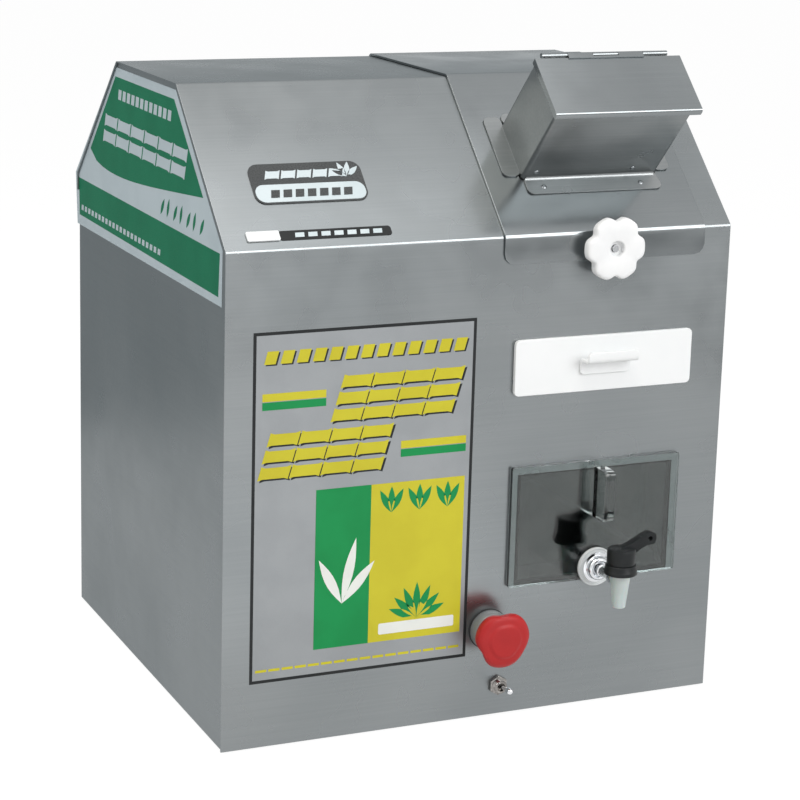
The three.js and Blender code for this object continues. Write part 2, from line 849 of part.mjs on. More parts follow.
// Mill cheeks: two plates that carry the rollers, the funnel and the tank shelf
const bushBore = (shaftRadius) => shaftRadius + runningGap;
const bushOuter = (shaftRadius) => bushBore(shaftRadius) + bushWall;
const rollerSeats = [
  { name: "top", axis: topAxis, shaftRadius: topShaftRadius },
  { name: "front", axis: frontAxis, shaftRadius: lowShaftRadius },
  { name: "rear", axis: rearAxis, shaftRadius: lowShaftRadius },
];
const tieRods = [
  { name: "tie_rod_front", y: cheekFront + tieRodFrontInset },
  { name: "tie_rod_rear", y: cheekRear - tieRodRearInset },
].map(({ name, y }) => ({ name, place: new THREE.Vector2(y, trayTop + tieRodAboveTray) }));
function cheek(x0, x1, footX0, footX1) {
  const top = topAxis.y + cheekTopMargin;
  const base = panTop + seat;
  const outline = vectors([
    [cheekFront, base],
    [cheekRear, base],
    [cheekRear, top - cheekChamfer],
    [cheekRear - cheekChamfer, top],
    [cheekFront + cheekChamfer, top],
    [cheekFront, top - cheekChamfer],
  ]);
  const corners = (index) => (index < 2 ? 0 : cheekCornerRadius);
  const plate = across(roundCorners(outline, corners, true), x0, x1);
  const foot = block(footX0, footX1, cheekFront, cheekRear, base, base + cheekThickness);
  const through = [x0 - overcut, x1 + overcut];
  const bushHoles = rollerSeats.map(({ axis, shaftRadius }) =>
    crossRod(bushOuter(shaftRadius) + seat, ...through, axis),
  );
  const rodHoles = tieRods.map(({ place }) =>
    crossRod(tieRodEndRadius + seat, ...through, place),
  );
  return cut(join(plate, foot), ...bushHoles, ...rodHoles);
}
const leftFoot = [cheekOuterLeft - cheekFootWidth, cheekOuterLeft + overcut];
const rightFoot = [cheekOuterRight - overcut, cheekOuterRight + cheekFootWidth];
addPiece("left_cheek", cheek(cheekOuterLeft, cheekInnerLeft, ...leftFoot), castIron);
addPiece("right_cheek", cheek(cheekInnerRight, cheekOuterRight, ...rightFoot), castIron);

tieRods.forEach(({ name, place }) => {
  const nutLeft = cheekOuterLeft - seat - tieNutThickness;
  const nutRight = cheekOuterRight + seat;
  const nut = hexagon(tieNutAcrossFlats).map((corner) => corner.add(place));
  const geometry = join(
    crossRod(tieRodRadius, cheekInnerLeft + seat, cheekInnerRight - seat, place),
    crossRod(tieRodEndRadius, nutLeft, nutRight + tieNutThickness, place),
    across(nut, nutLeft, cheekOuterLeft - seat),
    across(nut, nutRight, nutRight + tieNutThickness),
  );
  addPiece(name, geometry, innerSteel);
});

// Flanged bushes, pressed in from inside the cheeks
rollerSeats.forEach(({ name, axis, shaftRadius }) => {
  const bore = bushBore(shaftRadius);
  const outer = bushOuter(shaftRadius);
  const end = bushFlangeThickness + seat + cheekThickness;
  const profile = [
    [bore, 0],
    [outer + bushFlange, 0],
    [outer + bushFlange, bushFlangeThickness],
    [outer, bushFlangeThickness],
    [outer, end],
    [bore, end],
    [bore, 0],
  ];
  const flangeInset = seat + bushFlangeThickness;
  const left = turnedLeft(profile).translate(cheekInnerLeft + flangeInset, axis.x, axis.y);
  const right = turnedRight(profile).translate(cheekInnerRight - flangeInset, axis.x, axis.y);
  addPiece(`bush_${name}_left`, left, bronze);
  addPiece(`bush_${name}_right`, right, bronze);
});

// Grooved rollers on their shafts, with a key for each gear
const keyBlock = (axis, shaftRadius, x0, x1, clearance) =>
  block(
    x0,
    x1,
    axis.x - keyWidth / 2 - clearance,
    axis.x + keyWidth / 2 + clearance,
    axis.y,
    axis.y + shaftRadius + keyRise + clearance,
  );
function grooved(radius, count) {
  const pitch = (2 * Math.PI) / count;
  return Array.from({ length: count }, (_, groove) => groove * pitch).flatMap((angle) => [
    polar(radius, angle - pitch / 4),
    polar(radius - grooveDepth, angle),
    polar(radius, angle + pitch / 4),
  ]);
}
function roller({ axis, shaftRadius }, radius, grooves, shaftLeft) {
  const x0 = millCentreX - rollerLength / 2;
  const body = across(grooved(radius, grooves), x0, x0 + rollerLength);
  return join(
    body.translate(0, axis.x, axis.y),
    crossRod(shaftRadius, shaftLeft, rollerGearRight + shaftTail, axis),
    keyBlock(axis, shaftRadius, rollerGearLeft, rollerGearRight, 0),
  );
}
const [topSeat, frontSeat, rearSeat] = rollerSeats;
const lowShaftLeft = cheekOuterLeft - shaftOverhang;
const topRoller = join(
  roller(topSeat, topRollerRadius, topGrooves, bullLeft - shaftOverhang),
  keyBlock(topAxis, topShaftRadius, bullLeft, bullRight, 0),
);
const frontRoller = roller(frontSeat, lowRollerRadius, lowGrooves, lowShaftLeft);
const rearRoller = roller(rearSeat, lowRollerRadius, lowGrooves, lowShaftLeft);
addPiece("top_roller", topRoller, rollerSteel);
addPiece("front_roller", frontRoller, rollerSteel);
addPiece("rear_roller", rearRoller, rollerSteel);

// Gears with involute teeth; each is turned so that it meshes with its mate
function gearOutline(module, teeth, firstTooth) {
  const pitchRadius = (module * teeth) / 2;
  const baseRadius = pitchRadius * Math.cos(pressureAngle);
  const tipRadius = pitchRadius + addendum * module;
  const rootRadius = pitchRadius - dedendum * module;
  const involute = (angle) => Math.tan(angle) - angle;
  const halfTooth = (Math.PI * module - backlash) / (4 * pitchRadius) + involute(pressureAngle);
  const start = Math.max(baseRadius, rootRadius);
  const flank = Array.from({ length: flankSteps + 1 }, (_, step) => {
    const radius = start + ((tipRadius - start) * step) / flankSteps;
    return [radius, halfTooth - involute(Math.acos(baseRadius / radius))];
  });
  if (rootRadius < baseRadius) flank.unshift([rootRadius, flank[0][1]]);
  return Array.from({ length: teeth }, (_, tooth) => {
    const centre = firstTooth + (2 * Math.PI * tooth) / teeth;
    const rising = flank.map(([radius, half]) => polar(radius, centre - half));
    const falling = flank.map(([radius, half]) => polar(radius, centre + half));
    return [...rising, ...falling.reverse()];
  }).flat();
}
const meshedTooth = (direction, driverTooth, driverTeeth, teeth) =>
  direction + Math.PI + Math.PI / teeth - ((driverTooth - direction) * driverTeeth) / teeth;
const gearOn = (outline, x0, x1, axis) => across(outline, x0, x1).translate(0, axis.x, axis.y);
function keyedGear(outline, x0, x1, { axis, shaftRadius }, ...holes) {
  const through = [x0 - overcut, x1 + overcut];
  return cut(
    gearOn(outline, x0, x1, axis),
    crossRod(shaftRadius + seat, ...through, axis),
    keyBlock(axis, shaftRadius, ...through, seat),
    ...holes,
  );
}
const rollerGearSpan = [rollerGearLeft, rollerGearRight];
const topOutline = gearOutline(rollerModule, topTeeth, 0);
const topGear = keyedGear(topOutline, ...rollerGearSpan, topSeat);
addPiece("top_roller_gear", topGear, castIron);
[
  ["front_roller_gear", frontSeat],
  ["rear_roller_gear", rearSeat],
].forEach(([name, place]) => {
  const towards = place.axis.clone().sub(topAxis);
  const tooth = meshedTooth(towards.angle(), 0, topTeeth, lowTeeth);
  const outline = gearOutline(rollerModule, lowTeeth, tooth);
  addPiece(name, keyedGear(outline, ...rollerGearSpan, place), castIron);
});
const bullWindows = Array.from({ length: bullHoles }, (_, hole) => {
  const place = polar(bullHoleCircle, (2 * Math.PI * hole) / bullHoles).add(topAxis);
  return crossRod(bullHoleRadius, bullLeft - overcut, bullRight + overcut, place, slight);
});
const bullOutline = gearOutline(driveModule, bullTeeth, 0);
const bullGear = keyedGear(bullOutline, bullLeft, bullRight, topSeat, ...bullWindows);
addPiece("bull_gear", bullGear, castIron);

const pinionTooth = meshedTooth(pinionDirection, 0, bullTeeth, pinionTeeth);
const pinionOutline = gearOutline(driveModule, pinionTeeth, pinionTooth);
const pinionLeft = bullGearX - pinionWidth / 2;
const pinionRight = bullGearX + pinionWidth / 2;
const gearboxFace = gearboxRight + gearboxNeckLength;
const drivePinion = join(
  gearOn(pinionOutline, pinionLeft, pinionRight, pinionAxis),
  crossRod(pinionShaftRadius, gearboxFace - pinionShaftDepth, pinionRight, pinionAxis),
);
addPiece("drive_pinion", drivePinion, rollerSteel);

// Worm gearbox on three cast pillars against the left cheek
function gearboxCase() {
  const outline = rectangle(
    pinionAxis.x - gearboxFront,
    pinionAxis.x + gearboxRear,
    pinionAxis.y - gearboxBelow,
    pinionAxis.y + gearboxAbove,
    gearboxCornerRadius,
  );
  const capLeft = gearboxLeft - gearboxCapThickness;
  const pillars = gearboxPillars.map(([y, z]) => {
    const place = new THREE.Vector2(y, z).add(pinionAxis);
    return crossRod(gearboxPillarRadius, gearboxRight - sink, cheekOuterLeft - seat, place, slight);
  });
  const casting = join(
    across(outline, gearboxLeft, gearboxRight),
    crossRod(gearboxNeckRadius, gearboxRight - sink, gearboxFace, pinionAxis),
    crossRod(gearboxCapRadius, capLeft, gearboxLeft + sink, pinionAxis),
    ...pillars,
  );
  const boreLeft = gearboxFace - pinionShaftDepth - seat;
  const bore = [boreLeft, gearboxFace + overcut];
  return cut(casting, crossRod(pinionShaftRadius + runningGap, ...bore, pinionAxis));
}
addPiece("gearbox_case", gearboxCase(), castIron);

// Motor hanging under the gearbox, its axis upright beside the worm wheel
const motorY = pinionAxis.x + wormOffset;
const motorTop = pinionAxis.y - gearboxBelow - seat;
const motorBottom = motorTop - motorFlange - motorLength;
function motorBody() {
  const pitch = (2 * Math.PI) / motorFins;
  const fins = Array.from({ length: motorFins }, (_, fin) => fin * pitch).flatMap((angle) => [
    polar(motorRadius - motorFinDepth, angle - pitch / 4),
    polar(motorRadius, angle - pitch / 8),
    polar(motorRadius, angle + pitch / 8),
    polar(motorRadius - motorFinDepth, angle + pitch / 4),
  ]);
  const barrel = prism(fins, motorLength + sink).translate(0, 0, motorBottom);
  const flange = turnedUp(rod(motorFlangeRadius, motorTop - motorFlange, motorTop));
  const boxMiddle = (motorBottom + motorTop) / 2;
  const terminals = block(
    -motorRadius - terminalDepth,
    motorFinDepth - motorRadius + sink,
    -terminalWidth / 2,
    terminalWidth / 2,
    boxMiddle - terminalHeight / 2,
    boxMiddle + terminalHeight / 2,
  );
  return join(barrel, flange, terminals).translate(motorX, motorY, 0);
}
addPiece("motor_body", motorBody(), motorPaint);

function motorCowl() {
  const top = motorBottom - seat;
  const bottom = top - cowlLength;
  const cup = turnedUp(
    [
      [0, bottom],
      [cowlRadius, bottom],
      [cowlRadius, top],
      [cowlRadius - cowlSheet, top],
      [cowlRadius - cowlSheet, bottom + cowlSheet],
      [0, bottom + cowlSheet],
    ],
    fine,
  );
  const slots = Array.from({ length: cowlSlots }, (_, slot) => {
    const through = [bottom - overcut, bottom + cowlSheet + overcut];
    const half = cowlSlotWidth / 2;
    const opening = block(cowlSlotInner, cowlSlotOuter, -half, half, ...through);
    return opening.rotateZ((2 * Math.PI * slot) / cowlSlots);
  });
  return cut(cup, ...slots).translate(motorX, motorY, 0);
}
addPiece("motor_fan_cowl", motorCowl(), motorPaint);

// Trash plate: carries the pressed cane from the first nip to the second
function trashPlate() {
  const down = -Math.PI / 2;
  const halfGap = (rearAxis.x - frontAxis.x) / 2 - lowRollerRadius - trashClearance;
  const spread = Math.asin(halfGap / (topRollerRadius + trashGap));
  const halfFoot = halfGap * trashFootShare;
  const arc = Array.from({ length: trashSteps + 1 }, (_, step) => {
    const angle = down + spread * ((2 * step) / trashSteps - 1);
    return polar(topRollerRadius + trashGap, angle).add(topAxis);
  });
  const footZ = topAxis.y - topRollerRadius - trashGap - trashDepth;
  const foot = vectors([
    [topAxis.x + halfFoot, footZ],
    [topAxis.x - halfFoot, footZ],
  ]);
  const outline = [...arc, ...foot].reverse();
  return across(outline, cheekInnerLeft + seat, cheekInnerRight - seat);
}
addPiece("trash_plate", trashPlate(), rollerSteel);

// Juice funnel: a sheet trough with a rim that carries the strainer drawer
function juiceFunnel() {
  const funnelTop = trayBottom - seat;
  const funnelFront = frontY + funnelFromFront;
  const funnelRear = funnelFront + funnelLength;
  const funnelOutletY = frontY + funnelOutletFromFront;
  const rim = block(
    cheekInnerLeft + seat,
    cheekInnerRight - seat,
    funnelFront,
    funnelRear,
    funnelTop - funnelSheet,
    funnelTop,
  );
  const x0 = cheekInnerLeft + seat + funnelRim;
  const x1 = cheekInnerRight - seat - funnelRim;
  const mouth = [funnelFront + funnelRim, funnelRear - funnelRim];
  const bottom = funnelTop - funnelDepth;
  const trough = vectors([
    [mouth[0], funnelTop - funnelSheet],
    [funnelOutletY - funnelTroughHalf, bottom],
    [funnelOutletY + funnelTroughHalf, bottom],
    [mouth[1], funnelTop - funnelSheet],
  ]);
  const hollow = offsetPath(trough, -funnelSheet);
  hollow[0].y = funnelTop + overcut;
  hollow.at(-1).y = funnelTop + overcut;
  const outlet = turnedUp(
    rod(funnelOutletRadius, bottom - funnelOutletLength, bottom + funnelSheet / 2),
  );
  const bore = turnedUp(
    rod(
      funnelOutletRadius - funnelSheet,
      bottom - funnelOutletLength - overcut,
      bottom + funnelSheet + overcut,
    ),
  );
  const outletPlace = [millCentreX, funnelOutletY, 0];
  return cut(
    join(rim, across(trough, x0, x1), outlet.translate(...outletPlace)),
    across(hollow, x0 + funnelSheet, x1 - funnelSheet),
    bore.translate(...outletPlace),
  );
}
addPiece("juice_funnel", juiceFunnel(), innerSteel);

// Bagasse floor and outlet hood, welded into one piece and screwed to the rear panel
function rearHood() {
  const fallLine = new THREE.Vector2(Math.cos(floorFall), -Math.sin(floorFall));
  const hoodBack = rearPanelOuterY + seat;
  const end = hoodBack + hoodReach;
  const length = (end - floorTop.x) / fallLine.x;
  const floorEnd = floorTop.clone().addScaledVector(fallLine, length);
  const under = new THREE.Vector2(fallLine.y, -fallLine.x).multiplyScalar(floorSheet);
  const floor = [
    floorTop,
    floorTop.clone().add(under),
    floorEnd.clone().add(under),
    floorEnd,
  ].reverse();
  const rise = new THREE.Vector2(0, floorLip / fallLine.x);
  const hoodTop = outletTop - seat;
  const lips = [
    floorTop.clone().add(under),
    floorEnd.clone().add(under),
    floorEnd.clone().add(rise),
    floorTop.clone().add(rise),
  ];
  const walls = vectors([
    [hoodBack, floorAt(hoodBack) - floorSheet / 2],
    [end, floorAt(end) - floorSheet / 2],
    [end, hoodTop - hoodTopFall],
    [hoodBack, hoodTop],
  ]);
  const roof = vectors([
    [hoodBack, hoodTop - floorSheet],
    [end, hoodTop - hoodTopFall - floorSheet],
    [end, hoodTop - hoodTopFall],
    [hoodBack, hoodTop],
  ]);
  const flangeHoleBottom = floorAt(hoodBack) - floorSheet;
  const flangeOutline = rectangle(
    duct.left - hoodFlange,
    duct.right + hoodFlange,
    outletBottom - hoodFlange,
    outletTop + hoodFlange,
    hoodFlangeRadius,
  );
  const flangeHole = rectangle(
    duct.left + floorSheet,
    duct.right - floorSheet,
    flangeHoleBottom,
    hoodTop - floorSheet,
  );
  const sides = [
    [duct.left, duct.left + floorSheet],
    [duct.right - floorSheet, duct.right],
  ];
  return join(
    across(floor, duct.left, duct.right),
    across(roof, duct.left, duct.right),
    facing(flangeOutline, hoodBack, hoodBack + floorSheet, [flangeHole]),
    ...sides.map((span) => across(lips, ...span)),
    ...sides.map((span) => across(walls, ...span)),
  );
}
addPiece("rear_hood", rearHood(), brushedSteel);

// Strainer drawer: an open tray with a slotted plate on its ledge
const windowFront = frontY + trayWall + trayFrontFloor;
function strainerDrawer() {
  const tray = block(trayLeft, trayRight, frontY, trayRearY, trayBottom, trayTop);
  const hollow = block(
    trayLeft + trayWall,
    trayRight - trayWall,
    frontY + trayWall,
    trayRearY - trayWall,
    trayBottom + trayWall,
    trayTop + overcut,
  );
  const window = block(
    trayLeft + trayWall + trayLedge,
    trayRight - trayWall - trayLedge,
    windowFront,
    trayRearY - trayWall - trayLedge,
    trayBottom - overcut,
    trayBottom + trayWall + overcut,
  );
  return cut(tray, hollow, window);
}
addPiece("strainer_drawer", strainerDrawer(), whitePlastic);

function strainerPlate() {
  const bottom = trayBottom + trayWall + seat;
  const height = [bottom, bottom + strainerSheet];
  const x0 = trayLeft + trayWall + seat;
  const x1 = trayRight - trayWall - seat;
  const y0 = windowFront - trayLedge;
  const y1 = trayRearY - trayWall - seat;
  const slotEnd = trayLedge + strainerSlot;
  const slotSpan = y1 - y0 - 2 * slotEnd;
  const rows = Math.floor(slotSpan / strainerPitch);
  const halves = [
    [x0 + slotEnd, millCentreX - strainerBar / 2],
    [millCentreX + strainerBar / 2, x1 - slotEnd],
  ];
  const through = [height[0] - overcut, height[1] + overcut];
  const slots = Array.from({ length: rows }, (_, row) => {
    const y = y0 + slotEnd + (row + 0.5) * (slotSpan / rows);
    const edges = [y - strainerSlot / 2, y + strainerSlot / 2];
    return halves.map((half) => block(...half, ...edges, ...through));
  }).flat();
  return cut(block(x0, x1, y0, y1, ...height), ...slots);
}
addPiece("strainer_plate", strainerPlate(), rollerSteel);

const frontPlate = (outline) => facing(outline, frontY - plateFrontReach, frontY - plateBackReach);
const drawerFront = rectangle(
  millCentreX - drawerFrontWidth / 2,
  millCentreX + drawerFrontWidth / 2,
  drawerFrontBottom,
  drawerFrontBottom + drawerFrontHeight,
  drawerCornerRadius,
);
addPiece("drawer_front", frontPlate(drawerFront), whitePlastic);

function drawerPull() {
  const back = frontY - plateFrontReach - seat;
  const base = drawerFrontBottom + pullBaseRise;
  const shelf = drawerFrontBottom + pullShelfRise;
  const top = drawerFrontBottom + pullTopRise;
  const path = vectors([
    [back - pullSheet, base],
    [back - pullSheet, shelf],
    [frontY - pullReach, shelf],
    [frontY - pullReach, top],
  ]);
  const edges = [millCentreX - pullWidth / 2, millCentreX + pullWidth / 2];
  const strip = across(bentSheet(path, pullSheet, pullBend), ...edges);
  const outline = rectangle(...edges, base, top, pullCornerRadius);
  return common(strip, facing(outline, frontY - pullReach - overcut, back + overcut));
}
addPiece("drawer_pull", drawerPull(), whitePlastic);

// Juice tank: clear walls behind a clear front plate that has a rib to pull it out by
const shankHole = (from, to) =>
  turnedForward(rod(tapShankRadius + seat, from, to)).translate(millCentreX, frontY, tapHeight);
function juiceTank() {
  const rear = frontY + tankLength;
  const outer = block(tankLeft, tankRight, frontY, rear, tankBottom, tankTop);
  const hollow = block(
    tankLeft + tankWall,
    tankRight - tankWall,
    frontY + tankWall,
    rear - tankWall,
    tankBottom + tankWall,
    tankTop + overcut,
  );
  return cut(outer, hollow, shankHole(-tankWall - overcut, overcut));
}
addPiece("juice_tank", juiceTank(), clearAcrylic);
const tankFront = rectangle(
  doorCentreX - tankFrontWidth / 2,
  doorCentreX + tankFrontWidth / 2,
  tankFrontBottom,
  tankFrontTop,
  tankCornerRadius,
);
const plateFace = frontY - plateFrontReach;
const ribTop = tankFrontTop - ribTopMargin;
const ribBottom = ribTop - (tankFrontTop - tankFrontBottom) * ribShare;
const ribOutline = roundCorners(
  vectors([
    [plateFace + sink, ribBottom],
    [plateFace + sink, ribTop],
    [plateFace - ribReach, ribTop],
    [plateFace - ribReach, ribBottom],
  ]),
  (corner) => (corner > 1 ? ribCornerRadius : 0),
  true,
);
const rib = across(ribOutline, millCentreX - ribWidth / 2, millCentreX + ribWidth / 2);
const tankFrontPlate = cut(
  join(frontPlate(tankFront), rib),
  shankHole(-overcut, plateFrontReach + overcut),
);
addPiece("tank_front", tankFrontPlate, clearAcrylic);

function tankShelf() {
  const top = tankBottom - seat;
  const x0 = cheekInnerLeft + seat;
  const x1 = cheekInnerRight - seat;
  const shelfFront = frontY + shelfFromFront;
  const shelfRear = shelfFront + shelfLength;
  const outer = block(x0, x1, shelfFront, shelfRear, top - shelfFlange, top);
  const under = [top - shelfFlange - overcut, top - shelfSheet];
  const inner = [x0 + shelfSheet, x1 - shelfSheet];
  return cut(outer, block(...inner, shelfFront - overcut, shelfRear + overcut, ...under));
}
addPiece("tank_shelf", tankShelf(), innerSteel);

// Tap: washer and nut on the tank front, a pale spout, a black skirt and a turning lever
const onTapShank = (geometry) => geometry.translate(millCentreX, frontY, tapHeight);
const washerBack = plateFrontReach + seat;
const washerFront = washerBack + tapWasherThickness;
const nutBack = washerFront + seat;
const shankClear = tapShankRadius + seat;
const washer = turnedForward(ring(shankClear, tapWasherRadius, washerBack, washerFront), fine);
addPiece("tap_washer", onTapShank(washer), chrome);
const nutProfile = [
  [shankClear, nutBack],
  [tapNutRadius, nutBack],
  [tapNutRadius, nutBack + tapNutThickness / 2],
  [tapNutFaceRadius, nutBack + tapNutThickness],
  [shankClear, nutBack + tapNutThickness],
  [shankClear, nutBack],
];
addPiece("tap_nut", onTapShank(turnedForward(nutProfile)), chrome);

const atTap = (geometry) => geometry.translate(millCentreX, frontY - tapReach, 0);
function tapBody() {
  const column = turnedUp([
    [0, tapSpoutBottom],
    [tapSpoutBottomRadius, tapSpoutBottom],
    [tapSpoutTopRadius, tapSpoutTop],
    [tapSpoutTopRadius, tapNeckTop],
    [0, tapNeckTop],
  ]);
  const shank = onTapShank(turnedForward(rod(tapShankRadius, -tapShankInside, tapReach)));
  const shankBore = rod(tapShankBore, -tapShankInside - overcut, tapReach);
  const spoutBore = rod(tapSpoutBore, tapSpoutBottom - overcut, tapSpoutTop + overcut);
  return cut(
    join(atTap(column), shank),
    onTapShank(turnedForward(shankBore)),
    atTap(turnedUp(spoutBore)),
  );
}
addPiece("tap_body", tapBody(), paleSpout);

const skirtBottom = tapSpoutTop + seat;
const skirtBore = tapSpoutTopRadius + seat;
const skirtProfile = [
  [skirtBore, skirtBottom],
  [tapSkirtRadius, skirtBottom],
  [tapSkirtTopRadius, skirtBottom + tapSkirtHeight],
  [skirtBore, skirtBottom + tapSkirtHeight],
  [skirtBore, skirtBottom],
];
addPiece("tap_collar", atTap(turnedUp(skirtProfile, fine)), blackPlastic);

function tapLever() {
  const base = tapNeckTop + seat;
  const hub = turnedUp(rod(tapHubRadius, base, base + tapHubHeight));
  const tip = new THREE.Vector2(tapArmTip, base + tapArmTipRise);
  const rootTop = new THREE.Vector2(-tapHubRadius / 2, base + tapArmRootRise);
  const rootLow = new THREE.Vector2(tapHubRadius - sink, base + tapArmRootRise - tapArmRootDrop);
  const tipArc = Array.from({ length: tapArmArcSteps + 1 }, (_, step) =>
    polar(tapArmTipRadius, tapArmArcStart + (tapArmArcSweep * step) / tapArmArcSteps).add(tip),
  );
  const rootBase = new THREE.Vector2(-tapHubRadius / 2, base + sink);
  const rootBaseRight = new THREE.Vector2(tapHubRadius / 2, base + sink);
  const outline = [rootBase, rootBaseRight, rootLow, ...tipArc, rootTop];
  const half = tapArmThickness / 2;
  const arm = cut(
    facing(outline, -half, half),
    turned(rod(tapArmHoleRadius, -half - overcut, half + overcut)).translate(tip.x, 0, tip.y),
  );
  return atTap(join(hub, arm));
}
addPiece("tap_lever", tapLever(), blackPlastic);

// Emergency stop: collar and threaded barrel, contact block, plunger and red head
const atStop = (geometry) => geometry.translate(stopX, frontY, stopHeight);
const stopBore = stopPlungerRadius + runningGap;
const collarProfile = [
  [stopBore, -stopShankLength],
  [stopShankRadius, -stopShankLength],
  [stopShankRadius, seat],
  [stopCollarRadius, seat],
  [stopCollarRadius, stopCollarThickness - stopCollarEdge],
  [stopCollarFaceRadius, stopCollarThickness],
  [stopBore, stopCollarThickness],
  [stopBore, -stopShankLength],
];
addPiece("estop_collar", atStop(turnedForward(collarProfile, fine)), greyPlastic);
const stopBlockFront = -sheet - seat;
const stopBlock = cut(
  block(
    -stopBlockWidth / 2,
    stopBlockWidth / 2,
    -stopBlockFront,
    -stopBlockFront + stopBlockDepth,
    -stopBlockHeight / 2,
    stopBlockHeight / 2,
  ),
  turnedForward(rod(stopShankRadius + seat, -stopBlockSocket, overcut)),
);
addPiece("estop_body", atStop(stopBlock), blackPlastic);
const plunger = rod(
  stopPlungerRadius,
  -stopPlungerDepth,
  stopHeadBack + stopSocketDepth - seat,
);
addPiece("estop_plunger", atStop(turnedForward(plunger)), greyPlastic);
function stopHead() {
  const outline = lobed(
    stopHeadRadius,
    stopHeadNotch,
    stopLobes,
    Math.PI / 2,
    stopHeadSharpness,
    stopHeadSteps,
  );
  const face = stopHeadBack + stopHeadThickness;
  const knob = pillowed(outline, stopHeadThickness, stopHeadEdge)
    .applyMatrix4(towardsFront)
    .translate(0, -stopHeadBack, 0);
  const disc = turnedForward([
    [0, face - sink],
    [stopDiscRadius, face - sink],
    [stopDiscRadius, face + stopDiscRise / 2],
    [stopDiscTopRadius, face + stopDiscRise],
    [0, face + stopDiscRise],
  ]);
  const socket = rod(stopBore, stopHeadBack - overcut, stopHeadBack + stopSocketDepth);
  return cut(join(knob, disc), turnedForward(socket));
}
addPiece("estop_head", atStop(stopHead()), redPlastic);

// Toggle switch: case behind the panel, bushing and nut in front, lever on a ball
const atToggle = (geometry) => geometry.translate(toggleX, frontY, toggleHeight);
function toggleBody() {
  const half = toggleCaseWidth / 2;
  const caseFront = sheet + seat;
  const caseBack = caseFront + toggleCaseDepth;
  const nutBlank = hexagon(toggleNutAcrossFlats);
  return cut(
    join(
      block(-half, half, caseFront, caseBack, -half, half),
      turnedForward(rod(toggleBushRadius, -caseFront - sink, toggleBushReach)),
      facing(nutBlank, -seat - toggleNutThickness, -seat),
    ),
    turnedForward(
      rod(toggleBoreRadius, toggleBushReach - toggleBoreDepth, toggleBushReach + overcut),
    ),
  );
}
addPiece("toggle_body", atToggle(toggleBody()), chrome);
const ballShoulder = polar(toggleBallRadius, Math.PI / 5);
const tipShoulder = polar(toggleTipRadius, Math.PI / 4);
const tipCentre = toggleLeverLength - toggleTipRadius;
const leverProfile = [
  [0, -toggleBallRadius],
  [ballShoulder.x, -ballShoulder.y],
  [toggleBallRadius, 0],
  [toggleStemRadius, toggleBallRadius],
  [toggleStemRadius, toggleLeverLength - toggleTipLength],
  [toggleTipRadius, tipCentre],
  [tipShoulder.x, tipCentre + tipShoulder.y],
  [0, toggleLeverLength],
];
const toggleLever = turnedForward(leverProfile)
  .rotateX(-toggleTilt)
  .translate(0, -togglePivotReach, 0);
addPiece("toggle_lever", atToggle(toggleLever), chrome);

// Roller cover over the mill, slotted to lift off the knob's stud
function rollerCover() {
  const crease = housePath[3];
  const down = housePath[4].clone().sub(crease).normalize();
  const path = [
    new THREE.Vector2(frontY, kneeHeight - coverDrop),
    housePath[1],
    housePath[2],
    crease,
    crease.clone().addScaledVector(down, coverRearFlange),
  ];
  const outer = offsetPath(path, -seat - coverSheet);
  const bend = bendRadius + seat + coverSheet;
  const wrap = across(bentSheet(outer, coverSheet, bend), coverLeft, coverRight);
  const roundedFront = roundCorners(
    vectors([
      [coverLeft, kneeHeight - coverDrop],
      [coverRight, kneeHeight - coverDrop],
      [coverRight, housingHeight + chuteHeight],
      [coverLeft, housingHeight + chuteHeight],
    ]),
    (corner) => (corner < 2 ? coverCornerRadius : 0),
    true,
  );
  const silhouette = facing(roundedFront, 2 * frontY, rearY);
  const slotHalf = studRadius + seat;
  const outside = [frontY - coverSheet - overcut, frontY + overcut];
  const slotOutline = rectangle(
    doorCentreX - slotHalf,
    doorCentreX + slotHalf,
    kneeHeight - coverDrop - slotHalf,
    studHeight + slotHalf,
    slotHalf,
  );
  const chuteHole = prism(
    rectangle(
      chuteLeft - chuteHoleMargin,
      chuteRight + chuteHoleMargin,
      chuteFrontOnSlope - chuteHoleMargin,
      chuteRearOnSlope + chuteHoleMargin,
      chuteCornerRadius,
    ),
    coverSheet + seat + 2 * overcut,
  );
  return cut(
    common(wrap, silhouette),
    facing(slotOutline, ...outside),
    chuteHole.translate(0, 0, -overcut).applyMatrix4(slopeFrame),
  );
}
addPiece("roller_cover", rollerCover(), brushedSteel);

const studProfile = [
  [0, -sheet - seat - studHeadThickness],
  [studHeadRadius, -sheet - seat - studHeadThickness],
  [studHeadRadius, -sheet - seat],
  [studRadius, -sheet - seat],
  [studRadius, studReach],
  [0, studReach],
];
const stud = turnedForward(studProfile).translate(doorCentreX, frontY, studHeight);
addPiece("cover_stud", stud, rollerSteel);
function starKnob() {
  const outline = lobed(
    knobRadius,
    knobNotch,
    knobLobes,
    Math.PI / 6,
    knobSharpness,
    knobSteps,
  );
  const discBack = knobReach - knobThickness;
  const disc = pillowed(outline, knobThickness, knobEdge)
    .applyMatrix4(towardsFront)
    .translate(0, -discBack, 0);
  const hub = turnedForward(rod(knobHubRadius, coverFaceReach + seat, discBack + knobEdge));
  const bore = turnedForward(rod(studRadius + seat, 0, knobReach + overcut));
  const recess = turnedForward([
    [0, knobReach - knobRecessDepth],
    [studRadius + seat, knobReach - knobRecessDepth],
    [knobRecessRadius, knobReach],
    [knobRecessRadius, knobReach + overcut],
    [0, knobReach + overcut],
  ]);
  return cut(join(disc, hub), bore, recess).translate(doorCentreX, frontY, studHeight);
}
addPiece("star_knob", starKnob(), whitePlastic);

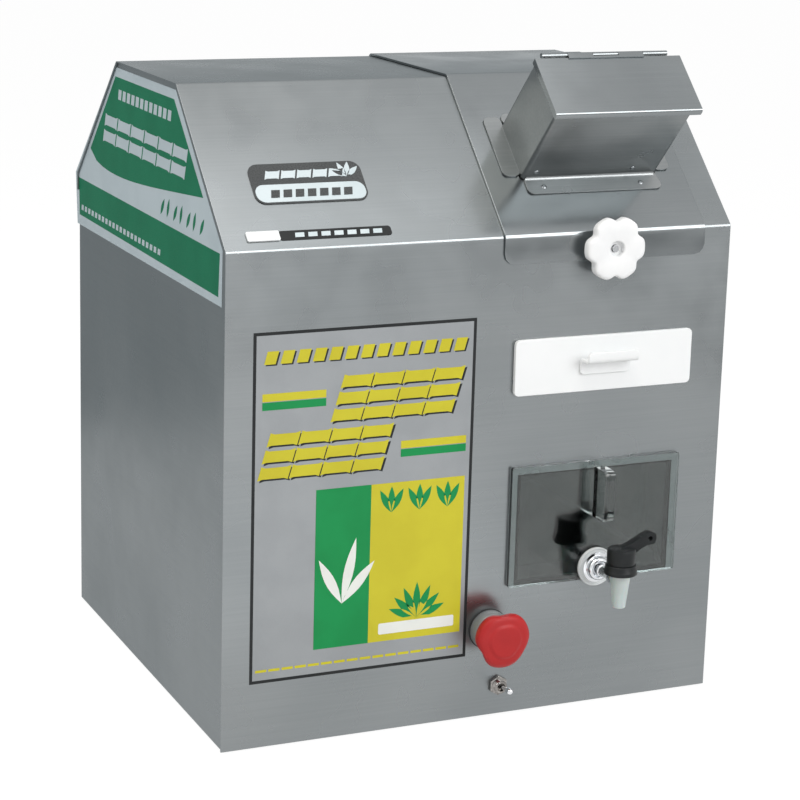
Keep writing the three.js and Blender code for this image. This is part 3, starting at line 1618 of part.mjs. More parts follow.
// Feed chute through the cover, folded from sheet with four flanges resting on it
const onSlope = (geometry) => geometry.applyMatrix4(slopeFrame);
function feedChute() {
  const flangeLow = coverFaceReach + seat;
  const flangeTop = flangeLow + chuteSheet;
  const outer = rectangle(
    chuteLeft,
    chuteRight,
    chuteFrontOnSlope,
    chuteRearOnSlope,
    chuteCornerRadius,
  );
  const inner = rectangle(
    chuteLeft + chuteSheet,
    chuteRight - chuteSheet,
    chuteFrontOnSlope + chuteSheet,
    chuteRearOnSlope - chuteSheet,
    chuteCornerRadius - chuteSheet,
  );
  const walls = prism(outer, chuteHeight + chuteThroat, [inner]).translate(0, 0, -chuteThroat);
  const bendPath = vectors([
    [chuteFrontOnSlope - frontFlangeDepth, flangeTop],
    [chuteFrontOnSlope, flangeTop],
    [chuteFrontOnSlope, flangeTop + 2 * chuteBend],
  ]);
  const flangeEdges = [chuteLeft + frontFlangeInset, chuteRight + frontFlangeInset];
  const bend = across(
    bentSheet(bendPath, chuteSheet, chuteBend),
    chuteLeft + frontFlangeInset,
    chuteRight - chuteCornerRadius,
  );
  const flange = (x0, x1, s0, s1) =>
    prism(rectangle(x0, x1, s0, s1, chuteFlangeRadius), chuteSheet).translate(0, 0, flangeLow);
  const frontRoot = chuteFrontOnSlope + chuteSheet;
  const tongueFront = chuteFrontOnSlope - frontFlangeDepth;
  const frontShape = roundCorners(
    vectors([
      [flangeEdges[0], tongueFront],
      [flangeEdges[1], tongueFront],
      [chuteRight - chuteSheet, frontRoot],
      [flangeEdges[0], frontRoot],
    ]),
    (corner) => (corner < 2 ? chuteFlangeRadius : 0),
    true,
  );
  const frontTongue = prism(frontShape, chuteSheet).translate(0, 0, flangeLow);
  const trimmedBend = common(
    bend,
    prism(
      rectangle(
        flangeEdges[0],
        chuteRight,
        tongueFront,
        chuteFrontOnSlope + chuteSheet,
        chuteFlangeRadius,
      ),
      chuteHeight,
    ),
  );
  const sideEnds = [
    chuteFrontOnSlope + sideFlangeLap,
    chuteRearOnSlope + sideFlangeRearLap,
  ];
  const overlap = chuteSheet / 2;
  const solidWalls = join(
    walls,
    trimmedBend,
    frontTongue,
    flange(chuteLeft - sideFlangeWidth, chuteLeft + overlap, ...sideEnds),
    flange(chuteRight - overlap, chuteRight + sideFlangeWidth, ...sideEnds),
    flange(
      chuteLeft + frontFlangeInset,
      chuteRight - frontFlangeInset,
      chuteRearOnSlope - overlap,
      chuteRearOnSlope + rearFlangeDepth,
    ),
  );
  const throat = prism(inner, chuteHeight + chuteThroat + 2 * overcut);
  return onSlope(cut(solidWalls, throat.translate(0, 0, -chuteThroat - overcut)));
}
addPiece("feed_chute", feedChute(), brushedSteel);

// Chute lid with folded lips, on a butt hinge along its back edge
const lidBottom = chuteHeight + seat;
const lidTop = lidBottom + lidSheet;
const lidFront = chuteFrontOnSlope - lidFrontGap - lidSheet;
const lidBack = chuteRearOnSlope - lidRearGap;
const lidLeft = chuteLeft - lidLipGap - lidSheet;
const lidRight = chuteRight + lidRightOverhang;
function chuteLid() {
  const path = vectors([
    [lidFront, lidTop - lidLip],
    [lidFront, lidTop],
    [lidBack, lidTop],
  ]);
  const sideLip = vectors([
    [lidFront + lidSheet / 2, lidTop - lidLip],
    [lidBack, lidTop - lidLip],
    [lidBack, lidTop - lidSheet / 2],
    [lidFront + lidSheet / 2, lidTop - lidSheet / 2],
  ]);
  return onSlope(
    join(
      across(bentSheet(path, lidSheet, lidBend), lidLeft, lidRight),
      across(sideLip, lidLeft, lidLeft + lidSheet),
      across(sideLip, lidRight - lidSheet, lidRight),
    ),
  );
}
addPiece("chute_lid", chuteLid(), brushedSteel);

const leafBottom = lidTop + seat;
const leafTop = leafBottom + hingeLeafSheet;
const hingeAxis = new THREE.Vector2(
  chuteRearOnSlope + seat + hingeBarrelRadius,
  leafTop - hingeBarrelRadius,
);
const hingeLeft = millCentreX - hingeLength / 2;
const knucklePitch = hingeLength / hingeKnuckles;
const knuckles = Array.from({ length: hingeKnuckles }, (_, index) => ({
  x0: hingeLeft + index * knucklePitch,
  x1: hingeLeft + (index + 1) * knucklePitch,
  fixed: index % 2 === 0,
}));
function hingeLeaf(fixed, plate, reliefOf) {
  const barrel = ring(hingePinRadius + seat, hingeBarrelRadius, seat / 2, knucklePitch - seat / 2);
  const own = knuckles.filter((knuckle) => knuckle.fixed === fixed);
  const others = knuckles.filter((knuckle) => knuckle.fixed !== fixed);
  const barrels = own.map(({ x0 }) =>
    turnedRight(barrel, slight).translate(x0, hingeAxis.x, hingeAxis.y),
  );
  const pinRoom = crossRod(
    hingePinRadius + seat,
    hingeLeft - overcut,
    hingeLeft + hingeLength + overcut,
    hingeAxis,
    slight,
  );
  const reliefs = others.map(({ x0, x1 }) => reliefOf(x0 - seat / 2, x1 + seat / 2));
  return onSlope(cut(join(cut(plate, ...reliefs), ...barrels), pinRoom));
}
const reliefReach = hingeBarrelRadius + hingeRelief;
const fixedPlate = block(
  hingeLeft + seat / 2,
  hingeLeft + hingeLength - seat / 2,
  hingeAxis.x - hingeBarrelRadius,
  hingeAxis.x - hingeBarrelRadius + hingeLeafSheet,
  hingeAxis.y - hingeLeafHeight,
  hingeAxis.y,
);
const fixedRelief = (x0, x1) =>
  block(
    x0,
    x1,
    chuteRearOnSlope,
    hingeAxis.x,
    hingeAxis.y - reliefReach,
    hingeAxis.y + overcut,
  );
addPiece("hinge_fixed_leaf", hingeLeaf(true, fixedPlate, fixedRelief), brushedSteel);
const lidPlate = block(
  hingeLeft + knucklePitch + seat / 2,
  hingeLeft + hingeLength - knucklePitch - seat / 2,
  hingeAxis.x - hingeLeafHeight,
  hingeAxis.x,
  leafBottom,
  leafTop,
);
const lidRelief = (x0, x1) =>
  block(x0, x1, hingeAxis.x - reliefReach, hingeAxis.x + overcut, lidTop, leafTop + overcut);
addPiece("hinge_lid_leaf", hingeLeaf(false, lidPlate, lidRelief), brushedSteel);
const pin = crossRod(
  hingePinRadius,
  hingeLeft + seat,
  hingeLeft + hingeLength - seat,
  hingeAxis,
  slight,
);
addPiece("hinge_pin", onSlope(pin), rollerSteel);

// The whole machine is set with its bounding box's bottom centre at the origin
const bounds = new THREE.Box3().setFromObject(machine);
const middle = bounds.getCenter(new THREE.Vector3());
machine.children.forEach((piece) => {
  piece.geometry.translate(-middle.x, -middle.y, -bounds.min.z);
});

export default machine;
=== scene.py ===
"""A countertop sugarcane mill: bent steel housing, geared rollers, drawer, clear juice tank."""
import math

import bpy
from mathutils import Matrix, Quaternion, Vector


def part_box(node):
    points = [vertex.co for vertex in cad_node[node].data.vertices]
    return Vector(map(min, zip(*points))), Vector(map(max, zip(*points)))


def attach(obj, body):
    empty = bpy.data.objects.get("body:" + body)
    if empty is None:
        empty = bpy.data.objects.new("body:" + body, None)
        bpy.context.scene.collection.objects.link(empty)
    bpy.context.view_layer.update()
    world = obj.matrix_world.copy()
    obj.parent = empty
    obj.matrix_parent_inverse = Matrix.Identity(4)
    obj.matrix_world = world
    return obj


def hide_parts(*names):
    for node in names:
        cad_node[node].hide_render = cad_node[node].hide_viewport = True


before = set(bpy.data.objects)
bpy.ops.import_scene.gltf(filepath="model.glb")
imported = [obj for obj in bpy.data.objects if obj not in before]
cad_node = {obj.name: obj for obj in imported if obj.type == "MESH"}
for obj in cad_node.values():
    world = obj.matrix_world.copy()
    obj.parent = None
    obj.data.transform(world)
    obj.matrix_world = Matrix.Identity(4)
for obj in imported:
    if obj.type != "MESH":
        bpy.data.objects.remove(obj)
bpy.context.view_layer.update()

# Camera: it stands a little left of the machine and above it, far away with a long lens.
# Its place was worked out from the corners of the housing.
camera_place = Vector((-0.8248, -1.8460, 0.7521))
camera_aim = Vector((0.0, 0.0146, 0.2630))
camera_roll = math.radians(1.516)
bpy.ops.object.camera_add(location=camera_place)
camera = bpy.context.object
camera.name = "view_camera"
camera.rotation_mode = "QUATERNION"
aim_turn = (camera_aim - camera_place).to_track_quat("-Z", "Y")
camera.rotation_quaternion = aim_turn @ Quaternion((0, 0, 1), camera_roll)
camera.data.lens = 105.47
camera.data.sensor_width = 36
camera.data.shift_x = 0.0184
camera.data.shift_y = -0.0488
bpy.context.scene.camera = camera
bpy.context.scene.view_settings.view_transform = "Standard"


# Floor, sky and lamps: a pale studio sweep under two overhead boxes, with a front and a left box,
# and four cards that only polished surfaces see. The floor and the sky look white, while the floor
# keeps the machine's shadow.
def wire(tree, kind, inputs=None, **settings):
    """Adds a node with its settings; each input is a value or another node's output."""
    made = tree.nodes.new(kind)
    for name, value in settings.items():
        setattr(made, name, value)
    for socket, value in (inputs or {}).items():
        if isinstance(value, bpy.types.NodeSocket):
            tree.links.new(value, made.inputs[socket])
        else:
            made.inputs[socket].default_value = value
    return made


def seen_rays(tree):
    """One for the rays that see the sweep as plain white, nought for the rest."""
    path = wire(tree, "ShaderNodeLightPath")
    share = path.outputs["Is Camera Ray"]
    for title in ("Is Glossy Ray", "Is Transmission Ray"):
        both = {0: share, 1: path.outputs[title]}
        share = wire(tree, "ShaderNodeMath", both, operation="ADD", use_clamp=True).outputs[0]
    return share


def bare_material(name):
    material = bpy.data.materials.new(name)
    material.use_nodes = True
    material.node_tree.nodes.clear()
    return material, material.node_tree


def studio_world(lit_strength):
    world = bpy.data.worlds.new("studio_sky")
    bpy.context.scene.world = world
    world.use_nodes = True
    tree = world.node_tree
    tree.nodes.clear()
    white = (1, 1, 1, 1)
    soft = wire(tree, "ShaderNodeBackground", {"Color": white, "Strength": lit_strength})
    seen = wire(tree, "ShaderNodeBackground", {"Color": white, "Strength": 1.0})
    sides = {0: seen_rays(tree), 1: soft.outputs[0], 2: seen.outputs[0]}
    mixed = wire(tree, "ShaderNodeMixShader", sides)
    wire(tree, "ShaderNodeOutputWorld", {"Surface": mixed.outputs[0]})


def sweep_floor(shade, glow):
    bpy.ops.mesh.primitive_plane_add(size=14, location=(0, 0, -0.0003))
    floor = bpy.context.object
    floor.name = "studio_floor"
    material, tree = bare_material("pale_sweep")
    matte = wire(tree, "ShaderNodeBsdfDiffuse", {"Color": (*shade, 1)})
    light = wire(tree, "ShaderNodeEmission", {"Color": (1, 1, 1, 1), "Strength": glow})
    seen = wire(tree, "ShaderNodeAddShader", {0: matte.outputs[0], 1: light.outputs[0]})
    plain = wire(tree, "ShaderNodeBsdfDiffuse", {"Color": (0.62, 0.62, 0.62, 1)})
    sides = {0: seen_rays(tree), 1: plain.outputs[0], 2: seen.outputs[0]}
    mixed = wire(tree, "ShaderNodeMixShader", sides)
    wire(tree, "ShaderNodeOutputMaterial", {"Surface": mixed.outputs[0]})
    floor.data.materials.append(material)


def lamp(name, place, aim, width, height, watts, tone=(1, 1, 1)):
    bpy.ops.object.light_add(type="AREA", location=place)
    made = bpy.context.object
    made.name = name
    made.data.shape = "RECTANGLE"
    made.data.size = width
    made.data.size_y = height
    made.data.energy = watts
    made.data.color = tone
    made.rotation_mode = "QUATERNION"
    made.rotation_quaternion = (Vector(aim) - Vector(place)).to_track_quat("-Z", "Y")


def glossy_card(name, place, aim, width, height, shade):
    """A studio card that only polished surfaces see."""
    bpy.ops.mesh.primitive_plane_add(size=1, location=place)
    card = bpy.context.object
    card.name = name
    card.scale = (width, height, 1)
    card.rotation_mode = "QUATERNION"
    card.rotation_quaternion = (Vector(aim) - Vector(place)).to_track_quat("Z", "Y")
    material, tree = bare_material(f"{name}_card")
    light = wire(tree, "ShaderNodeEmission", {"Color": (*shade, 1), "Strength": 1.0})
    wire(tree, "ShaderNodeOutputMaterial", {"Surface": light.outputs[0]})
    card.data.materials.append(material)
    card.visible_camera = False
    card.visible_diffuse = False
    card.visible_transmission = False
    card.visible_shadow = False


studio_world(0.52)
sweep_floor((0.16, 0.16, 0.16), 0.9)
lamp("overhead_box", (0.195, -0.88, 1.95), (0.195, -0.88, 0.3), 1.09, 1.24, 4.5)
lamp("overhead_left", (-0.62, -0.45, 1.95), (-0.62, -0.45, 0.3), 1.1, 1.0, 13.5, (1.0, 0.925, 0.84))
lamp("front_box", (1.1, -2.4, 1.5), (0.0, -0.1, 0.3), 1.6, 1.5, 37)
lamp("left_box", (-2.1, 0.0, 1.9), (-0.2, 0.0, 0.4), 1.0, 1.0, 11)
glossy_card("side_card", (-0.55, 0.75, 0.45), (-0.15, -0.165, 0.45), 1.2, 0.9, (0.6, 0.63, 0.64))
glossy_card("back_card", (0.5, 1.3, 0.95), (0.1, 0.0, 0.55), 1.6, 1.0, (0.78, 0.81, 0.82))
glossy_card("bounce_card", (-0.15, -1.0, 0.002), (-0.15, -1.0, 1.0), 0.8, 1.15, (1.4, 1.4, 1.4))
glossy_card("far_card", (2.06, -2.8, 0.002), (2.06, -2.8, 1.0), 2.0, 3.4, (0.42, 0.435, 0.44))


# Housing: one stainless sheet bent round the front, the slope and the top, with two side panels
# and a rear panel set just inside its edges. The sheet is rolled bright, with soft clouds in it.
def group(name, inputs, outputs):
    made = bpy.data.node_groups.new(name, "ShaderNodeTree")
    kinds = {"v": "NodeSocketVector", "c": "NodeSocketColor", "f": "NodeSocketFloat"}
    for title, kind in inputs.items():
        made.interface.new_socket(name=title, in_out="INPUT", socket_type=kinds[kind])
    for title, kind in outputs.items():
        made.interface.new_socket(name=title, in_out="OUTPUT", socket_type=kinds[kind])
    return made, wire(made, "NodeGroupInput").outputs


def noise(tree, place, scale, detail, roughness, distortion=0.0):
    inputs = {"Vector": place, "Scale": scale, "Detail": detail}
    inputs |= {"Roughness": roughness, "Distortion": distortion}
    return wire(tree, "ShaderNodeTexNoise", inputs).outputs[0]


def spread(tree, value, low, high, new_low, new_high, curve="LINEAR"):
    """Maps a span of values onto another span and stops at its ends."""
    inputs = {0: value, 1: low, 2: high, 3: new_low, 4: new_high}
    return wire(tree, "ShaderNodeMapRange", inputs, interpolation_type=curve).outputs[0]


surface_results = {"Color": "c", "Roughness": "f", "Height": "f"}


def give_surface(tree, given, share, roughness, height):
    """Mixes the two tones and hands out a group's results."""
    tones = {0: share, 1: given["Light Tone"], 2: given["Deep Tone"]}
    tone = wire(tree, "ShaderNodeMixRGB", tones).outputs[0]
    wire(tree, "NodeGroupOutput", {"Color": tone, "Roughness": roughness, "Height": height})


def drawn_grain_group():
    """Fine lines along the sheet or round a turned piece, over wide soft clouds."""
    inputs = {"Place": "v", "Stretch": "v", "Light Tone": "c", "Deep Tone": "c"}
    inputs |= {"Cloud Scale": "f", "Smooth": "f", "Rough": "f"}
    tree, given = group("drawn_grain", inputs, surface_results)
    place = given["Place"]
    along = {0: place, 1: given["Stretch"]}
    stretched = wire(tree, "ShaderNodeVectorMath", along, operation="MULTIPLY").outputs[0]
    lines = noise(tree, stretched, 1.0, 3.0, 0.6)
    clouds = noise(tree, place, given["Cloud Scale"], 2.0, 0.45, 0.4)
    marks = noise(tree, place, 24.0, 2.0, 0.5)
    line_share = spread(tree, lines, 0.3, 0.7, -0.16, 0.16)
    cloud_share = spread(tree, clouds, 0.28, 0.72, 0.08, 0.92, "SMOOTHSTEP")
    both = {0: line_share, 1: cloud_share}
    share = wire(tree, "ShaderNodeMath", both, operation="ADD", use_clamp=True).outputs[0]
    gloss = spread(tree, marks, 0.22, 0.78, given["Smooth"], given["Rough"], "SMOOTHSTEP")
    give_surface(tree, given, share, gloss, lines)
    return tree


drawn_grain = drawn_grain_group()


def principled(name, metallic=0.0, **values):
    material, tree = bare_material(name)
    shader = wire(tree, "ShaderNodeBsdfPrincipled", {"Metallic": metallic, **values})
    wire(tree, "ShaderNodeOutputMaterial", {"Surface": shader.outputs[0]})
    place = wire(tree, "ShaderNodeTexCoord").outputs["Object"]
    return material, tree, shader, place


def join_surface(tree, shader, effect, depth, strength):
    """Joins a group's tone and gloss to the shader, and its relief as a bump of so many metres."""
    tree.links.new(effect.outputs["Color"], shader.inputs["Base Color"])
    tree.links.new(effect.outputs["Roughness"], shader.inputs["Roughness"])
    relief = {"Strength": strength, "Distance": depth, "Height": effect.outputs["Height"]}
    bump = wire(tree, "ShaderNodeBump", relief)
    tree.links.new(bump.outputs[0], shader.inputs["Normal"])


grazing_tone = {"Specular Tint": (0.58, 0.60, 0.61, 1)}


def drawn_metal(name, light, deep, stretch, smooth, rough, clouds=5.0):
    """Bare metal with fine lines; stretch is how many of them cross a metre each way."""
    material, tree, shader, place = principled(name, metallic=1.0, **grazing_tone)
    inputs = {
        "Place": place,
        "Stretch": stretch,
        "Light Tone": (*light, 1),
        "Deep Tone": (*deep, 1),
        "Cloud Scale": clouds,
        "Smooth": smooth,
        "Rough": rough,
    }
    effect = wire(tree, "ShaderNodeGroup", inputs, node_tree=drawn_grain)
    join_surface(tree, shader, effect, 0.00002, 0.1)
    return material


steel_light = (0.277, 0.294, 0.300)
steel_deep = (0.228, 0.246, 0.253)
shell_steel = drawn_metal("shell_sheet", steel_light, steel_deep, (9, 700, 700), 0.24, 0.34)
side_steel = drawn_metal("side_sheet", steel_light, steel_deep, (700, 9, 700), 0.26, 0.36)
cover_steel = drawn_metal("cover_sheet", steel_light, steel_deep, (9, 700, 700), 0.15, 0.24)

mm = 0.001
sharp_angle = math.radians(38)


def shading_tree():
    """Takes the stored normals off a welded solid and smooths all but its sharp edges."""
    tree = bpy.data.node_groups.new("soft_shading", "GeometryNodeTree")
    tree.interface.new_socket(name="Geometry", in_out="INPUT", socket_type="NodeSocketGeometry")
    tree.interface.new_socket(name="Geometry", in_out="OUTPUT", socket_type="NodeSocketGeometry")
    given = wire(tree, "NodeGroupInput").outputs[0]
    bare = wire(tree, "GeometryNodeRemoveAttribute", {"Geometry": given, "Name": "custom_normal"})
    smooth = wire(
        tree,
        "GeometryNodeSetShadeSmooth",
        {"Geometry": bare.outputs[0], "Shade Smooth": True},
        domain="FACE",
    )
    turn = wire(tree, "GeometryNodeInputMeshEdgeAngle")
    sharp = wire(
        tree,
        "ShaderNodeMath",
        {0: turn.outputs["Unsigned Angle"], 1: sharp_angle},
        operation="GREATER_THAN",
    )
    edged = wire(
        tree,
        "GeometryNodeSetShadeSmooth",
        {"Geometry": smooth.outputs[0], "Selection": sharp.outputs[0], "Shade Smooth": False},
        domain="EDGE",
    )
    wire(tree, "NodeGroupOutput", {"Geometry": edged.outputs[0]})
    return tree


soft_shading = shading_tree()


def dress(name, material, edge=0.25, segments=2, merge_flats=True):
    """Gives a CAD node its material, and its sharp edges a small round of so many millimetres."""
    node = cad_node[name]
    for place in node.material_slots:
        place.link = "OBJECT"
        place.material = material
    weld = node.modifiers.new("weld", "WELD")
    weld.merge_threshold = 0.00001
    if merge_flats:
        flats = node.modifiers.new("flats", "DECIMATE")
        flats.decimate_type = "DISSOLVE"
        flats.angle_limit = math.radians(0.6)
    shading = node.modifiers.new("shading", "NODES")
    shading.node_group = soft_shading
    if edge:
        rounded = node.modifiers.new("edges", "BEVEL")
        rounded.width = edge * mm
        rounded.segments = segments
        rounded.limit_method = "ANGLE"
        rounded.angle_limit = sharp_angle
        rounded.harden_normals = True
        rounded.miter_outer = "MITER_ARC"


dress("body_shell", shell_steel, 0.5, 3)
dress("left_side_panel", side_steel)
dress("right_side_panel", side_steel)
dress("rear_panel", shell_steel, 0.2, 2, False)

# Front label: a printed film on the left of the front, framed in black, with cane stalks, stripes
# and two colour blocks. Each colour is one thin layer of print over the one below.
front_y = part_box("body_shell")[0].y
label_left = -201.3 * mm
label_foot = 56.0 * mm


def only(piece):
    if bpy.context.object and bpy.context.object.mode != "OBJECT":
        bpy.ops.object.mode_set(mode="OBJECT")
    bpy.ops.object.select_all(action="DESELECT")
    if piece:
        piece.select_set(True)
        bpy.context.view_layer.objects.active = piece


def apply_modifiers(piece):
    only(piece)
    for name in [m.name for m in piece.modifiers]:
        bpy.ops.object.modifier_apply(modifier=name)


def close_seams(piece):
    only(piece)
    bpy.ops.object.mode_set(mode="EDIT")
    bpy.ops.mesh.select_all(action="SELECT")
    bpy.ops.mesh.remove_doubles(threshold=0.000004)
    bpy.ops.mesh.normals_make_consistent(inside=False)
    bpy.ops.object.mode_set(mode="OBJECT")


def cut_flat(name, outlines, origin, right, up, thickness, lift=0.0):
    """Flat pieces cut to outlines in millimetres, laid on a face and given their thickness."""
    only(None)
    curve = bpy.data.curves.new(name, "CURVE")
    curve.dimensions = "2D"
    curve.fill_mode = "BOTH"
    curve.extrude = thickness / 2 * mm
    for outline in outlines:
        spline = curve.splines.new("POLY")
        spline.points.add(len(outline) - 1)
        spline.use_cyclic_u = True
        for point, (u, v) in zip(spline.points, outline):
            point.co = (u * mm, v * mm, 0, 1)
    piece = bpy.data.objects.new(name, curve)
    bpy.context.scene.collection.objects.link(piece)
    only(piece)
    bpy.ops.object.convert(target="MESH")
    piece = bpy.context.object
    right = Vector(right).normalized()
    up = Vector(up).normalized()
    out = right.cross(up)
    middle = Vector(origin) + out * (lift + thickness / 2) * mm
    for column, axis in enumerate((right, up, out)):
        for row in range(3):
            piece.matrix_world[row][column] = axis[row]
    piece.matrix_world.translation = middle
    bpy.context.view_layer.update()
    bpy.ops.object.transform_apply(location=True, rotation=True, scale=True)
    close_seams(piece)
    return piece


def finish_piece(piece, material, body, slot, *stands_for):
    piece.data.materials.clear()
    piece.data.materials.append(material)
    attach(piece, body)
    if stands_for:
        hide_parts(*stands_for)
    return piece


def film(name, outlines, origin, right, up, thickness, material, body, slot, lift=0.0):
    piece = cut_flat(name, outlines, origin, right, up, thickness, lift)
    return finish_piece(piece, material, body, slot)


def rounded_box(u0, v0, u1, v1, radius=0.0, steps=6):
    if not radius:
        return [(u0, v0), (u1, v0), (u1, v1), (u0, v1)]
    corners = [(u1 - radius, v0 + radius, -90), (u1 - radius, v1 - radius, 0)]
    corners += [(u0 + radius, v1 - radius, 90), (u0 + radius, v0 + radius, 180)]
    outline = []
    for cu, cv, start in corners:
        for step in range(steps + 1):
            angle = math.radians(start + 90 * step / steps)
            outline.append((cu + radius * math.cos(angle), cv + radius * math.sin(angle)))
    return outline


def stalk(u, v, length, thick, joints, slant=0.3, gap=1.0):
    """Joints of a cane stalk: short bars with swollen ends, leaning to the right."""
    step = (length + gap) / joints
    made = []
    for joint in range(joints):
        start = u + joint * step
        end = start + step - gap
        waist = 0.1 * thick
        lower = [(start, 0), (start + 0.14 * step, waist), (end - 0.14 * step, waist), (end, 0)]
        upper = [(a, thick - b) for a, b in reversed(lower)]
        made.append([(a + slant * b, v + b) for a, b in lower + upper])
    return made


def bar(u, v, length, height, slant=0.0):
    lean = slant * height
    top = v + height
    return [(u, v), (u + length, v), (u + length + lean, top), (u + lean, top)]


def leaf(u, v, length, width, turn, steps=7):
    """A slim pointed cane leaf from a root point, turned anticlockwise by an angle in degrees."""
    shares = [step / steps for step in range(steps + 1)]
    one_side = [(length * share, width / 2 * math.sin(math.pi * share)) for share in shares]
    outline = one_side + [(a, -b) for a, b in reversed(one_side[1:-1])]
    c, s = math.cos(math.radians(turn)), math.sin(math.radians(turn))
    return [(u + a * c - b * s, v + a * s + b * c) for a, b in outline]


def shifted(outlines, du, dv):
    return [[(u + du, v + dv) for u, v in outline] for outline in outlines]


def variation_group():
    """Soft patches of two tones with a fine grain, for moulded, painted and printed surfaces."""
    inputs = {"Place": "v", "Light Tone": "c", "Deep Tone": "c"}
    inputs |= {"Patch Scale": "f", "Grain Scale": "f", "Smooth": "f", "Rough": "f"}
    tree, given = group("surface_variation", inputs, surface_results)
    patches = noise(tree, given["Place"], given["Patch Scale"], 3.0, 0.5)
    grain = noise(tree, given["Place"], given["Grain Scale"], 2.0, 0.6)
    share = spread(tree, patches, 0.3, 0.7, 0.0, 1.0, "SMOOTHSTEP")
    gloss = spread(tree, grain, 0.3, 0.7, given["Smooth"], given["Rough"])
    give_surface(tree, given, share, gloss, grain)
    return tree


surface_variation = variation_group()


def varied_surface(tree, place, light, deep, smooth, rough, patch, grain):
    inputs = {
        "Place": place,
        "Light Tone": (*light, 1),
        "Deep Tone": (*deep, 1),
        "Patch Scale": patch,
        "Grain Scale": grain,
        "Smooth": smooth,
        "Rough": rough,
    }
    return wire(tree, "ShaderNodeGroup", inputs, node_tree=surface_variation)


def varied(name, light, deep, smooth, rough, patch=30.0, grain=900.0, **values):
    """A material whose tone, gloss and fine relief change softly over the piece."""
    material, tree, shader, place = principled(name, **values)
    effect = varied_surface(tree, place, light, deep, smooth, rough, patch, grain)
    join_surface(tree, shader, effect, 0.00005, 0.2)
    return material


matt = {"Specular IOR Level": 0.2}
ink = {"smooth": 0.38, "rough": 0.48, **matt}
print_black = varied("print_black", (0.012, 0.014, 0.015), (0.019, 0.021, 0.022), **ink)
print_yellow = varied("print_yellow", (0.60, 0.545, 0.03), (0.56, 0.50, 0.026), **ink)
print_green = varied("print_green", (0.005, 0.27, 0.072), (0.004, 0.24, 0.062), **ink)
print_white = varied("print_white", (0.80, 0.82, 0.78), (0.76, 0.78, 0.74), 0.36, 0.46)
label_ground = varied(
    "label_ground", (0.30, 0.315, 0.325), (0.275, 0.29, 0.30), 0.38, 0.48, metallic=0.75
)

label_width, label_height, frame_width = 192.3, 290.0, 2.6
cane_rows = [(74, 240, 106), (70, 226.4, 106), (66, 212.8, 106)]
cane_rows += [(12, 197, 106), (8, 183.4, 106), (4.5, 169.8, 106)]
cane_art = [j for u, v, length in cane_rows for j in stalk(u, v, length, 11.4, 4)]
title_art = [bar(9 + 13.6 * k, 264, 9.6, 10.5, 0.28) for k in range(13)]
foot_dashes = [bar(5 + 11.4 * k, 9.2, 9.6, 2.2) for k in range(16)]
crown_turns = (22, 44, 66, 90, 114, 136, 158)
crown = [leaf(146, 40, 31 - 0.06 * abs(t - 90), 6.6, t) for t in crown_turns]
sprigs = [leaf(u, 133, 22, 6, t) for u in (121, 146, 171) for t in (62, 90, 118)]
white_leaves = [leaf(79, 60, long, 8.6, t) for long, t in ((44, 50), (56, 78), (44, 118))]
yellow_bars = [bar(8, 234, 54, 6.4), bar(128, 186, 58, 6.4), rounded_box(103, 23, 186, 158)]
green_bars = [bar(8, 227, 54, 6.4), bar(128, 179, 58, 6.4), rounded_box(55, 23, 103, 158)]
outer_frame = rounded_box(0, 0, label_width, label_height)
inner_frame = rounded_box(
    frame_width, frame_width, label_width - frame_width, label_height - frame_width
)
ground_outline = rounded_box(1, 1, label_width - 1, label_height - 1)
print_shadows = shifted(cane_art, 1.7, -1.5) + shifted(title_art, 1.3, -1.1)
yellow_art = cane_art + title_art + foot_dashes + yellow_bars
white_art = [rounded_box(112, 29, 180, 38.5, 1.5)] + white_leaves
on_front = dict(
    origin=(label_left, front_y, label_foot),
    right=(1, 0, 0),
    up=(0, 0, 1),
    body="housing",
    slot="steel",
)
for name, outlines, thickness, lift, print_tone in (
    ("label_film", [ground_outline], 0.06, 0, label_ground),
    ("label_frame", [outer_frame, inner_frame], 0.12, 0, print_black),
    ("label_shadows", print_shadows, 0.05, 0.06, print_black),
    ("label_yellow", yellow_art, 0.05, 0.11, print_yellow),
    ("label_green", green_bars + crown + sprigs, 0.05, 0.16, print_green),
    ("label_banner", white_art, 0.04, 0.21, print_white),
):
    film(name, outlines, thickness=thickness, lift=lift, material=print_tone, **on_front)

# Side sticker: a silver film across the top of the left side panel, with a green field that has a
# curved foot, a green band under it, and cane stalks left silver in the green.
dull = {"smooth": 0.42, "rough": 0.52, "Specular IOR Level": 0.05}
sticker_green = varied("sticker_green", (0.005, 0.165, 0.081), (0.003, 0.147, 0.071), **dull)
sticker_silver = varied("sticker_silver", (0.47, 0.55, 0.59), (0.44, 0.52, 0.56), **dull)
on_side = dict(
    origin=(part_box("left_side_panel")[0].x, front_y, 0),
    right=(0, -1, 0),
    up=(0, 0, 1),
    body="housing",
    slot="steel",
)


def seen_from_side(places):
    """Places given as millimetres behind the front and above the ground."""
    return [(-behind, height) for behind, height in places]


def sag(start, end, depth, steps=16):
    """A curve between two places that hangs lowest near its start."""
    run = []
    for step in range(steps + 1):
        t = step / steps
        drop = depth * math.sin(math.pi * t**0.54)
        run.append((start[0] + (end[0] - start[0]) * t, start[1] + (end[1] - start[1]) * t - drop))
    return run


